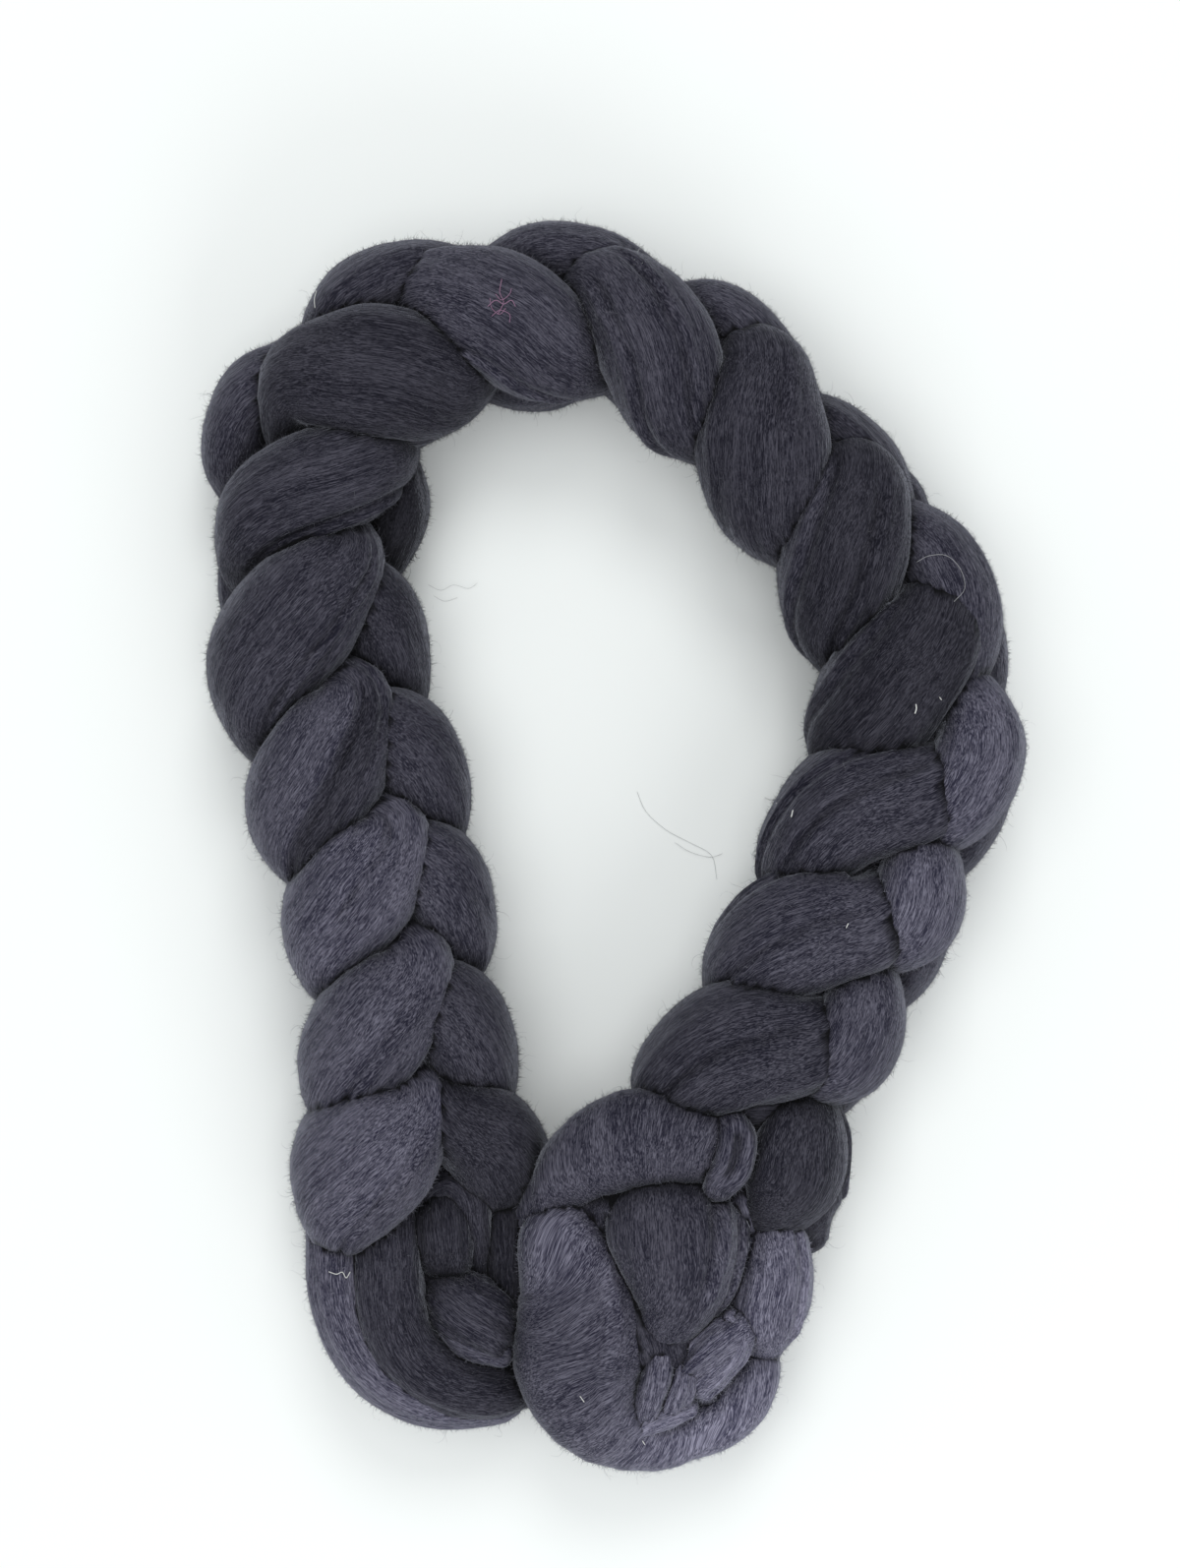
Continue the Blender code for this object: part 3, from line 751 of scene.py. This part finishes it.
def keep_attributes(mesh, kept):
    """Drops the helpers that only the making of a piece needed."""
    kept = (*kept, "sharp_face", "material_index", "sharp_edge", "UVMap")
    own = [a.name for a in mesh.attributes if not a.is_internal and not a.is_required]
    for name in own:
        if name not in kept:
            mesh.attributes.remove(mesh.attributes[name])


def read_points(mesh, kind=np.float32):
    points = np.zeros(len(mesh.vertices) * 3, kind)
    mesh.vertices.foreach_get("co", points)
    return points.reshape(-1, 3)


def move_points(mesh, points):
    mesh.vertices.foreach_set("co", points.ravel())
    mesh.update()


def swept(name, strands, tree, values):
    """One piece made by sweeping several strands with a geometry tree."""
    joined = {key: np.concatenate([rows[key] for rows in strands]) for key in strands[0]}
    edges = []
    start = 0
    for rows in strands:
        count = len(rows["along"])
        edges.extend((start + i, start + i + 1) for i in range(count - 1))
        start += count
    mesh = bpy.data.meshes.new(name + "_path")
    mesh.from_pydata([tuple(point) for point in joined["middle"]], edges, [])
    for label, values_along in joined.items():
        write_attribute(mesh, label, values_along)
    return grown(bpy.data.objects.new(name, mesh), tree, values)


# ---------------------------------------------------------------- folds of the wool top
# First key number of each fold of the ends.
END_NUMBERS = {
    name: 1000 + 100 * number
    for number, name in enumerate([*KNOTTED_END, *OPEN_END, *KNOTTED_END_LIPS, *OPEN_END_LIPS])
}
# A crease that follows the fibres: stitch or fold of an end, key where it starts and ends, turn
# round the strand at both, from its outer middle, in degrees, depth and half width in mm, height
# in mm of the ridge beside it and on which side, and how much lighter the far side is painted, a painted
# light (painted shade where below 0) for how that side faces the light.
FOLDS = (
    # stitch from to   turn  turn  deep wide  rim  painted side light
    ("front_leg", 0.3, 3.6, 34, 18, 1.6, 1.3, 1.2, 0.40),
    ("front_leg", 0.9, 4, 58, 64, 1.7, 1.2, 1.2, 0.30),
    ("ear", 0.7, 2.4, -8, -2, 2.6, 1.8, 0.8, 0),
    ("side_turn", 0.4, 3.8, 6, 14, 1.1, 1, 0.7, 0.15),
    ("wrap", 1.2, 6.6, 34, 30, 0.8, 1.4, 0.6, 0.10),
    ("rear_turn", 0.5, 3.6, 30, 38, 1.1, 0.9, 1, 0.30),
    (12, 0.7, 3.7, 26, 48, 2.2, 1.2, -1.2, -0.60),
    (12, 0.5, 3, 60, 72, 0.8, 0.8, 0, 0),
    (11, 0.9, 3.4, 46, 60, 1.5, 0.8, 1, 0),
    (13, 0.8, 2.6, 20, 28, 1.8, 1, 0.6, -0.10),
    (14, 1.2, 3.4, 40, 52, 1.2, 1, 0.6, -0.15),
    (15, 1, 3.6, 52, 64, 1.4, 1.1, 0.6, -0.25),
    (10, 1.2, 3.8, 46, 52, 1.4, 1.1, 1, 0.15),
    (9, 1.8, 4, 48, 54, 1.4, 1.1, 1, 0.15),
    (8, 1.2, 3.6, 30, 36, 1.2, 1, 0.8, 0.20),
    (7, 1, 4.2, 24, 14, 1.5, 1.1, 0.8, 0),
    (7, 1.6, 4.2, -34, -40, 1.4, 1, -0.8, 0),
    (6, 1.2, 4, -30, -36, 1.2, 1.1, -0.8, 0),
    (5, 0.6, 4.4, 4, 12, 1.4, 1.2, 0.8, 0.55),
    (5, 0.8, 4.2, -48, -42, 1.4, 1.1, -1, 0),
    (4, 0.6, 4.2, 8, 4, 1, 1.2, 0.6, 0.35),
    (2, 1, 3.8, 30, 20, 1.2, 1, 0.8, 0),
    (2, 1.5, 4.2, -52, -46, 1.6, 1.1, -1.2, 0),
    (1, 1.5, 4.2, -52, -46, 1.6, 1.1, -1.2, 0),
    (3, 1.2, 4.2, -8, -4, 1.2, 0.9, 0.8, 0),
    (3, 2, 4.3, -48, -38, 1.8, 1, -1, -0.1),
)
FADE_SHARE = 5.0           # a crease fades in and out over one part in this of its length
RIM_AWAY = 2.0             # how far the ridge lies from its crease, in half widths of the crease
RIM_WIDE = 1.3             # half width of the ridge, in the same
SIDE_LIGHT_EDGE = 1.2 * MM       # how quickly the painted lightening or darkening of one side of a crease sets in
SIDE_LIGHT_REACH = 16.0 * MM     # how far it reaches


def folded(obj):
    """Presses the creases of FOLDS into the swept strand, and paints one side of each lighter or darker as
    painted light and shade.
    """
    mesh = obj.data
    points = read_points(mesh)
    key = read_attribute(mesh, "key")
    turn = np.degrees(read_attribute(mesh, "turn")) - 180.0
    outward = points - read_attribute(mesh, "middle", 3)
    girth = np.linalg.norm(outward, axis=1)
    outward = unit(outward)
    sink = np.zeros(len(points))
    light = read_attribute(mesh, "lightness")
    for fold, start, stop, turn_a, turn_b, depth, width, rim, side_light in FOLDS:
        first_key = END_NUMBERS[fold] if fold in END_NUMBERS else fold * KEYS
        share = (key - first_key - start) / (stop - start)
        fade = np.clip(np.minimum(share, 1.0 - share) * FADE_SHARE, 0.0, 1.0)
        fade = fade * fade * (3.0 - 2.0 * fade)
        line = turn_a + (turn_b - turn_a) * np.clip(share, 0.0, 1.0)
        away = np.radians(turn - line) * girth
        sink += fade * depth * MM * np.exp(-(away / (width * MM)) ** 2)
        beside = away * math.copysign(1.0, rim) - RIM_AWAY * width * MM
        sink -= fade * abs(rim) * MM * np.exp(-(beside / (RIM_WIDE * width * MM)) ** 2)
        side = np.clip(away / SIDE_LIGHT_EDGE, 0.0, 1.0) * np.exp(-(away / SIDE_LIGHT_REACH) ** 2)
        # painted light and shade on one side of the crease
        light = light * (1.0 + side_light * side * fade)
    points -= outward * sink[:, None]
    mesh.attributes["lightness"].data.foreach_set("value", light.astype(np.float32))
    move_points(mesh, points)


def pressed_flat(obj):
    """Presses the underside flat where the wool lies on the table."""
    points = read_points(obj.data)
    height = (points[:, 2] - braid_low[2] - LIE_HEIGHT) / LIE_SOFTNESS
    points[:, 2] = braid_low[2] + LIE_HEIGHT + LIE_SOFTNESS * np.logaddexp(0.0, height)
    move_points(obj.data, points)


def facing_out(obj):
    """Turns a closed piece's faces outwards if they point in."""
    mesh = obj.data
    mesh.calc_loop_triangles()
    corners = np.zeros(len(mesh.loop_triangles) * 3, int)
    mesh.loop_triangles.foreach_get("vertices", corners)
    a, b, c = read_points(mesh, float)[corners.reshape(-1, 3)].transpose(1, 0, 2)
    if np.sum(a * np.cross(b, c)) < 0.0:
        mesh.flip_normals()


# ---------------------------------------------------------------- which wool can be seen
# Rays from a point of the wool: tilt from its normal, how many go round it, turn of the first.
LOOKS_AROUND = ((0.0, 1, 0.0), (40.0, 5, 0.0), (68.0, 5, 36.0))
LOOK_FAR = 22.0 * MM       # wool further away than this shades nothing
OFF_WOOL = 0.3             # mm, height over the wool that a ray starts from
TABLE_TILT = (0.65, 0.4)   # downward slope where fuzz stops, and the slope over which it comes back
EDGE_FUZZ = (0.12, 1.9)    # share of the fuzz seen from above, and what is added at the silhouette


def wool_surface(pieces):
    """The outside of the wool, to cast rays at."""
    vertices = []
    triangles = []
    for obj in pieces:
        obj.data.calc_loop_triangles()
        start = len(vertices)
        vertices.extend(v.co.copy() for v in obj.data.vertices)
        triangles.extend(tuple(start + i for i in t.vertices) for t in obj.data.loop_triangles)
    return BVHTree.FromPolygons(vertices, triangles)


def mark_openness(pieces, surface):
    """Stores on each point how open it is: 0 inside the plait, low in a crease, 1 in the open. The wool's
    painted crease shade is read from it.

    showing grows with it towards the silhouette and with how ragged the wool is, and is 0
    wherever the wool lies inside other wool or faces the table.
    """
    looks = []
    for tilt, count, first in LOOKS_AROUND:
        tilt = math.radians(tilt)
        for number in range(count):
            spin = math.radians(first + 360.0 / count * number)
            sideways = math.sin(tilt)
            looks.append(Vector((sideways * math.cos(spin), sideways * math.sin(spin), math.cos(tilt))))
    stop, fade = TABLE_TILT
    least, edge = EDGE_FUZZ
    for obj in pieces:
        openness = np.zeros(len(obj.data.vertices))
        showing = np.zeros(len(obj.data.vertices))
        loose = read_attribute(obj.data, "fullness")
        for i, vertex in enumerate(obj.data.vertices):
            normal = vertex.normal
            start = vertex.co + normal * OFF_WOOL * MM
            hit, face_normal, _, _ = surface.ray_cast(start, normal)
            if hit is not None and face_normal.dot(normal) > 0.0:
                continue
            turn = normal.to_track_quat("Z", "X")
            seen = 0.0
            for look in looks:
                found = surface.ray_cast(start, turn @ look, LOOK_FAR)
                seen += 1.0 if found[0] is None else found[3] / LOOK_FAR
            openness[i] = seen / len(looks)
            above_table = min(1.0, max(0.0, (normal.z + stop) / fade))
            silhouette = least + edge * (1.0 - abs(normal.z)) ** 2
            showing[i] = math.sqrt(openness[i]) * above_table * silhouette * loose[i]
        write_attribute(obj.data, "openness", openness)
        write_attribute(obj.data, "showing", showing)


# ---------------------------------------------------------------- wool materials
WOOL_DARK = (0.0095, 0.0091, 0.0172, 1.0)
WOOL_LIGHT = (0.0735, 0.0705, 0.0930, 1.0)
SHEEN_TINT = (0.72, 0.74, 0.86, 1.0)
LOOSE_DARK = (0.035, 0.035, 0.046, 1.0)
LOOSE_LIGHT = (0.120, 0.120, 0.145, 1.0)
SHADE_SEEN = (0.20, 0.88)     # shade of the fibres that is quite dark and quite light
PAINTED_CREASE_SHADE = (0.32, 0.95, 0.07, 1.15)   # painted crease shade: openness from, to, and how light the wool is painted at both, darker where other wool hides the light

# Layers of fibres in the top: scale of the noise, how far it is drawn out along the strand (less
# is longer), its detail, where it starts and stops showing, its share of the shade and height.
FIBRE_LAYERS = (
    # name          scale   drawn detail from  to  shade height
    ("Grain Scale", 4200.0, 0.42, 0.0, 0.36, 0.66, 0.22, 0.35),
    ("Stroke Scale", 4900.0, 0.09, 0.0, 0.36, 0.66, 0.22, 0.40),
    ("Curl Scale", 4400.0, 0.09, 0.0, 0.54, 0.68, 0.42, 0.80),
    ("Streak Scale", 1500.0, 0.028, 1.0, 0.36, 0.66, 0.22, 0.60),
    ("Band Scale", 190.0, 0.14, 1.0, 0.36, 0.66, 0.16, 1.60),
)
WANDER = 0.0015            # how far fibres wander from the straight, metres
WANDER_NOISE = {"Scale": 110.0, "Detail": 2.0}


def shader_group(name, inputs, outputs):
    """A shader group with named inputs and number outputs, with its two ends."""
    group = bpy.data.node_groups.new(name, "ShaderNodeTree")
    for label, kind, value in inputs:
        socket = group.interface.new_socket(label, in_out="INPUT", socket_type=kind)
        if value is not None:
            socket.default_value = value
    for label in outputs:
        group.interface.new_socket(label, in_out="OUTPUT", socket_type="NodeSocketFloat")
    return group, group.nodes.new("NodeGroupInput").outputs, group.nodes.new("NodeGroupOutput")


def combed_fibres_group():
    """Parallel fibres of the top: short strokes, longer streaks and broad bands along the strand."""
    scales = [(label, "NodeSocketFloat", scale) for label, scale, *_ in FIBRE_LAYERS]
    inputs = (("Place", "NodeSocketVector", None), *scales, ("Wander", "NodeSocketFloat", WANDER))
    group, given, out = shader_group("combed_fibres", inputs, ("Shade", "Height"))
    drift = add_node(group, "ShaderNodeTexNoise", {"Vector": given["Place"], **WANDER_NOISE})
    centred = vector_maths(group, "SUBTRACT", drift.outputs["Color"], (0.5, 0.5, 0.5))
    wander = vector_maths(group, "SCALE", centred, scale=given["Wander"])
    wandered = vector_maths(group, "ADD", given["Place"], wander)
    shade = 0.0
    height = 0.0
    for label, _, drawn, detail, low, high, shade_share, height_share in FIBRE_LAYERS:
        noise = drawn_out_noise(group, wandered, (drawn, 1.0, 1.0), given[label], detail)
        part = maths(group, "MULTIPLY", ranged(group, noise, low, high), shade_share)
        rise = maths(group, "MULTIPLY", noise, height_share)
        shade = maths(group, "ADD", shade, part)
        height = maths(group, "ADD", height, rise)
    feed(group, out, {"Shade": shade, "Height": height})
    return group


def new_material(name, sockets):
    """A material whose Principled shader has some sockets set."""
    material = bpy.data.materials.new(name)
    material.use_nodes = True
    tree = material.node_tree
    shader = tree.nodes["Principled BSDF"]
    feed(tree, shader, sockets)
    return material, tree, shader


def attribute_in(tree, label, result="Fac"):
    return add_node(tree, "ShaderNodeAttribute", attribute_name=label).outputs[result]


def mixed_colour(tree, share, dark, light, strength):
    """A colour between two others, made lighter or darker."""
    mix = add_node(tree, "ShaderNodeMix", data_type="RGBA")
    feed(tree, mix, {"A": dark, "B": light, "Factor": share})
    return vector_maths(tree, "SCALE", mix.outputs["Result"], scale=strength)


def wool_material(fibres):
    """Charcoal wool top: streaks of dark and lighter fibres with a soft sheen, with painted shade in its
    creases and painted light and shade on each lobe.
    """
    material, tree, shader = new_material("charcoal_wool", {
        "Roughness": 0.85, "Specular IOR Level": 0.12,
        "Sheen Weight": 0.42, "Sheen Roughness": 0.32, "Sheen Tint": SHEEN_TINT,
    })
    place = attribute_in(tree, "fibre_place", "Vector")
    streaks = add_node(tree, "ShaderNodeGroup", node_tree=fibres)
    feed(tree, streaks, {"Place": place})
    # painted shade: the wool is made darker where it is less open, in creases and between lobes
    crease_shade = ranged(tree, attribute_in(tree, "openness"), *PAINTED_CREASE_SHADE)
    painted_shading = maths(tree, "MULTIPLY", crease_shade, attribute_in(tree, "lightness"))
    share = ranged(tree, streaks.outputs["Shade"], *SHADE_SEEN)
    bump = add_node(tree, "ShaderNodeBump", {
        "Strength": 0.6, "Distance": 0.35 * MM, "Height": streaks.outputs["Height"],
    })
    feed(tree, shader, {
        "Base Color": mixed_colour(tree, share, WOOL_DARK, WOOL_LIGHT, painted_shading),
        "Normal": bump.outputs["Normal"],
    })
    return material


def fuzz_material():
    """Single loose fibres, each a little darker or lighter than the next, under the painted light and shade
    of the wool they grow on.
    """
    material, tree, shader = new_material("loose_fibres", {"Roughness": 0.6, "Specular IOR Level": 0.3})
    shade = attribute_in(tree, "fibre_shade")
    # painted light and shade taken over from the wool beneath
    colour = mixed_colour(tree, shade, LOOSE_DARK, LOOSE_LIGHT, attribute_in(tree, "lightness"))
    feed(tree, shader, {"Base Color": colour})
    return material


# ---------------------------------------------------------------- fuzz
# Shapes of fibres, some 1 mm long: x, y, z in mm at each bend after the root, and at the tip.
SPIKES = (
    ((0.30, 0.05, 0.90),),
    ((-0.10, 0.35, 0.85),),
)
CURLS = (
    ((0.22, 0.04, 0.55), (0.62, 0.10, 0.88)),
    ((0.02, 0.16, 0.60), (-0.26, 0.12, 1.02)),
    ((-0.16, 0.18, 0.50), (0.10, 0.52, 0.76)),
)
WISPS = (
    ((0.06, 0.02, 0.24), (0.20, 0.00, 0.44), (0.44, 0.05, 0.56), (0.66, 0.16, 0.50), (0.78, 0.24, 0.30)),
    ((-0.06, 0.05, 0.26), (-0.02, 0.14, 0.50), (0.12, 0.16, 0.72), (0.32, 0.08, 0.84), (0.54, 0.04, 0.80)),
    ((0.04, -0.08, 0.22), (-0.06, -0.20, 0.42), (-0.24, -0.20, 0.58), (-0.34, -0.06, 0.78),
     (-0.26, 0.10, 0.98)),
)
# Fibre shapes that the fuzz is picked from, and their half thickness at the root in mm.
FIBRE_KINDS = {"down": (SPIKES, 0.040), "short_fibres": (CURLS, 0.022), "wisps": (WISPS, 0.006)}
TAPER = 0.6                # how much thinner a fibre is near its tip
KINDS_OF_FUZZ = (
    # name   shapes   per m2  short long lift from, to stray seed
    ("lying", "wisps", 6000.0, 3.0, 7.0, 0.05, 0.40, 0.45, 11),
    ("down", "down", 1125000.0, 0.5, 1.7, 0.5, 2.0, 1.6, 57),
    ("curled", "short_fibres", 90000.0, 1.2, 2.6, 0.4, 1.8, 1.5, 29),
    ("flyaway", "wisps", 6000.0, 2.5, 6.0, 0.8, 2.4, 1.4, 83),
)


def fibre_shape(name, bends, thickness):
    """A closed three-sided fibre, tapered to its tip."""
    bends = ((0.0, 0.0, 0.0), *bends)
    vertices = []
    faces = [(2, 1, 0)]
    count = len(bends)
    for number, (x, y, z) in enumerate(bends[:-1]):
        radius = thickness * (1.0 - TAPER * number / (count - 1))
        for corner in range(3):
            angle = corner * 2.0 * math.pi / 3.0
            place = (x + radius * math.cos(angle), y + radius * math.sin(angle), z)
            vertices.append(tuple(value * MM for value in place))
    vertices.append(tuple(value * MM for value in bends[-1]))
    tip = len(vertices) - 1
    for number in range(count - 1):
        for corner in range(3):
            here = number * 3 + corner
            beside = number * 3 + (corner + 1) % 3
            last = number == count - 2
            faces.append((here, beside, tip) if last else (here, beside, beside + 3, here + 3))
    mesh = bpy.data.meshes.new(name)
    mesh.from_pydata(vertices, [], faces)
    return bpy.data.objects.new(name, mesh)


def collection_of(name, shapes, thickness):
    """Fibre shapes that a kind of fuzz is picked from."""
    collection = bpy.data.collections.new(name)
    for number, bends in enumerate(shapes):
        collection.objects.link(fibre_shape(f"{name}_{number}", bends, thickness))
    return collection


def fuzz_tree():
    """Scatters short fibres over the wool, leaning along the strand or standing off it."""
    sizes = ("Per Square Metre", "Shortest", "Longest", "Lowest Lift", "Highest Lift", "Stray")
    inputs = {
        "Strand": "Geometry", "Fibres": "Collection", **dict.fromkeys(sizes, "Float"),
        "Seed": "Int", "Wool": "Material",
    }
    tree, given, out = new_tree("scatter_fuzz", inputs, "Fuzz")
    vectors = partial(vector_maths, tree)

    def random_between(low, high, order, kind="FLOAT"):
        seed = maths(tree, "ADD", given["Seed"], float(order))
        node = add_node(tree, "FunctionNodeRandomValue", {"Seed": seed}, data_type=kind)
        first, result = (0, 0) if kind == "FLOAT_VECTOR" else (2, 1)
        feed(tree, node, {first: low, first + 1: high})
        return node.outputs[result]

    density = maths(tree, "MULTIPLY", named(tree, "showing"), given["Per Square Metre"])
    scatter = add_node(tree, "GeometryNodeDistributePointsOnFaces", {
        "Mesh": given["Strand"], "Density": density, "Seed": given["Seed"],
    }).outputs
    either = maths(tree, "SIGN", random_between(-1.0, 1.0, 2))
    lie = vectors("SCALE", named(tree, "ahead", "FLOAT_VECTOR"), scale=either)
    lift = random_between(given["Lowest Lift"], given["Highest Lift"], 1)
    rise = vectors("SCALE", scatter["Normal"], scale=lift)
    scattered = random_between((-1.0,) * 3, (1.0,) * 3, 3, "FLOAT_VECTOR")
    astray = vectors("SCALE", scattered, scale=given["Stray"])
    way = vectors("ADD", vectors("ADD", lie, rise), astray)
    stand = add_node(tree, "FunctionNodeAlignRotationToVector", {"Vector": way}, axis="Z")
    roll = add_node(tree, "FunctionNodeAxisAngleToRotation", {
        "Axis": (0.0, 0.0, 1.0), "Angle": random_between(0.0, 2.0 * math.pi, 4),
    })
    turned = add_node(tree, "FunctionNodeRotateRotation", {
        "Rotation": stand.outputs["Rotation"], "Rotate By": roll.outputs["Rotation"],
    }, rotation_space="LOCAL")
    shapes = add_node(tree, "GeometryNodeCollectionInfo", {
        "Separate Children": True, "Reset Children": True, "Collection": given["Fibres"],
    })
    size = random_between(given["Shortest"], given["Longest"], 5)
    length = add_node(tree, "ShaderNodeCombineXYZ", {axis: size for axis in "XYZ"})
    plant = add_node(tree, "GeometryNodeInstanceOnPoints", {
        "Pick Instance": True, "Points": scatter["Points"], "Instance": shapes.outputs["Instances"],
        "Rotation": turned.outputs["Rotation"], "Scale": length.outputs["Vector"],
    })
    shade = random_between(0.0, 1.0, 6)
    fuzz = stored(tree, plant.outputs["Instances"], "fibre_shade", shade, domain="INSTANCE")
    fuzz = passed(tree, "GeometryNodeRealizeInstances", fuzz)
    fuzz = passed(tree, "GeometryNodeSetMaterial", fuzz, {"Material": given["Wool"]})
    feed(tree, out, {"Fuzz": fuzz})
    return tree


# ---------------------------------------------------------------- stray fibres
ABOVE_ALL = 0.5            # metres, height from which the surface under a stray fibre is found
STRAY_STEPS = 4            # rings between two keys of a stray fibre
STRAY_CORNERS = 5          # corners of its ring


def stray_keys(row, surface):
    """Keys of one stray fibre, laid over the wool or, beside it, on the table."""
    _, half, lift, line = row
    keys = []
    upright = (0.0, 0.0, 1.0)
    looks = (1.0, 0.0, 0.0, 0.0)
    for x, y in line:
        place = Vector(placed(np.array([x + STRAYS_FROM[0], y + STRAYS_FROM[1], 0.0]) * MM))
        hit = surface.ray_cast(Vector((place.x, place.y, ABOVE_ALL)), Vector((0.0, 0.0, -1.0)))[0]
        height = hit.z if hit is not None else 0.0
        keys.append([place.x, place.y, height + lift * MM, *upright, half * MM, half * MM, *looks])
    return np.array(keys)


# ---------------------------------------------------------------- camera, table and light
LENS = 80.8                # mm, on a sensor 36 mm wide
CAMERA_OVER = (-7.26, 16.57)   # mm, where the camera looks straight down, as in the tables
CAMERA_HEIGHT = 0.73
LAMPS = (
    # name               x      y      z     size power
    ("overhead_light", -0.25, 0.0, 1.5, 1.4, 9.3),
    ("north_east_light", 0.1, 0.95, 1.25, 0.65, 6.2),
    ("south_east_light", 0.45, -1.2, 0.8, 0.9, 7.3),
)
LAMPS_AIM_AT = (0.0, 0.0, 0.02)
LAMP_COLOUR = (0.98, 1.0, 0.995)
ROOM_COLOUR = (0.955, 0.985, 1.0, 1.0)
ROOM_STRENGTH = 0.48
TABLE_COLOUR = (0.90, 0.915, 0.905, 1.0)
TABLE_REACH = 6.0


def make_camera():
    data = bpy.data.cameras.new("camera")
    data.sensor_fit = "HORIZONTAL"
    data.sensor_width = 36.0
    data.lens = LENS
    camera = bpy.data.objects.new("camera", data)
    bpy.context.scene.collection.objects.link(camera)
    x, y, _ = placed(np.array([*CAMERA_OVER, 0.0]) * MM)
    camera.location = (x, y, CAMERA_HEIGHT)
    bpy.context.scene.camera = camera


def make_light():
    for name, x, y, z, size, power in LAMPS:
        data = bpy.data.lights.new(name, "AREA")
        data.shape = "DISK"
        data.size = size
        data.energy = power
        data.color = LAMP_COLOUR
        light = bpy.data.objects.new(name, data)
        bpy.context.scene.collection.objects.link(light)
        light.location = (x, y, z)
        way = Vector(LAMPS_AIM_AT) - Vector((x, y, z))
        light.rotation_euler = way.to_track_quat("-Z", "Y").to_euler()
    world = bpy.data.worlds.new("soft_room")
    bpy.context.scene.world = world
    world.use_nodes = True
    room = world.node_tree.nodes["Background"]
    feed(world.node_tree, room, {"Color": ROOM_COLOUR, "Strength": ROOM_STRENGTH})


def make_table():
    mesh = bpy.data.meshes.new("table_top")
    corners = [(x * TABLE_REACH, y * TABLE_REACH, 0.0) for x, y in ((-1, -1), (1, -1), (1, 1), (-1, 1))]
    mesh.from_pydata(corners, [], [(0, 1, 2, 3)])
    table = bpy.data.objects.new("table_top", mesh)
    bpy.context.scene.collection.objects.link(table)
    looks = {"Base Color": TABLE_COLOUR, "Roughness": 0.7, "Specular IOR Level": 0.2}
    mesh.materials.append(new_material("pale_table", looks)[0])


# ---------------------------------------------------------------- make everything
make_camera()
make_light()
make_table()
bpy.context.scene.view_settings.view_transform = "Standard"

wool = wool_material(combed_fibres_group())
sweep = sweep_tree()
combed_wool = {
    "Rib Height": 1.4 * MM, "Rib Scale": 260.0, "Lump Height": 2.0 * MM, "Lump Scale": 42.0,
    "Tuft Height": 0.8 * MM, "Tuft Scale": 170.0, "Wool": wool,
}
half_one = path_rows(plait_keys(0, SPLIT_STITCH), STEPS_PER_KEY, 0.0)
half_two = path_rows(plait_keys(SPLIT_STITCH, len(STITCHES)), STEPS_PER_KEY, half_one["along"][-1])
ends = []
for hub, table in (
    (KNOTTED_END_HUB, KNOTTED_END), (OPEN_END_HUB, OPEN_END),
    (KNOTTED_END_HUB, KNOTTED_END_LIPS), (OPEN_END_HUB, OPEN_END_LIPS),
):
    for name, rows in table.items():
        # painted light and shade of this fold, from its start to its stop
        lights = END_PAINTED_LIGHTNESS.get(name, USUAL_END_PAINTED_LIGHTNESS)
        keys = turn_keys(rows, hub, lights, END_NUMBERS[name], LEANING.get(name))
        path = path_rows(keys, END_STEPS, END_START + len(ends))
        path["fullness"] *= RAGGED.get(name, 1.0)
        ends.append(path)

strand_pieces = [
    swept("plait_right_arm", [half_one], sweep, dict(combed_wool, Corners=RING)),
    swept("plait_left_arm", [half_two], sweep, dict(combed_wool, Corners=RING)),
    swept("plait_ends", ends, sweep, dict(combed_wool, Corners=END_RING)),
]
for piece in strand_pieces:
    folded(piece)
    pressed_flat(piece)
    facing_out(piece)
surface = wool_surface(strand_pieces)
mark_openness(strand_pieces, surface)

fibres = {name: collection_of(name, *shape) for name, shape in FIBRE_KINDS.items()}
fuzz = fuzz_tree()
fuzz_wool = fuzz_material()
loose_pieces = []
for piece in strand_pieces:
    for kind, shapes, density, shortest, longest, low, high, stray, seed in KINDS_OF_FUZZ:
        cover = bpy.data.objects.new(f"{kind}_fuzz_{piece.name}", piece.data.copy())
        loose_pieces.append(grown(cover, fuzz, {
            "Fibres": fibres[shapes], "Per Square Metre": density,
            "Shortest": shortest, "Longest": longest, "Lowest Lift": low, "Highest Lift": high,
            "Stray": stray, "Seed": seed, "Wool": fuzz_wool,
        }))
        keep_attributes(cover.data, ("fibre_shade", "lightness"))

smooth = {**dict.fromkeys(("Rib Height", "Lump Height", "Tuft Height"), 0.0), "Corners": STRAY_CORNERS}
for colour, value in STRAY_COLOURS.items():
    paths = [path_rows(stray_keys(row, surface), STRAY_STEPS, 0.0) for row in STRAYS if row[0] == colour]
    dyed, *_ = new_material(f"{colour}_fibre", {"Base Color": value, "Roughness": 0.6})
    strays = swept(f"stray_fibres_{colour}", paths, sweep, dict(smooth, Wool=dyed))
    facing_out(strays)
    keep_attributes(strays.data, ())
    loose_pieces.append(strays)

for collection in fibres.values():
    for shape in list(collection.objects):
        bpy.data.objects.remove(shape)
    bpy.data.collections.remove(collection)
for piece in strand_pieces:
    keep_attributes(piece.data, ("fibre_place", "lightness", "openness"))
    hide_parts("roving_braid")
for piece in strand_pieces + loose_pieces:
    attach(piece, "root")
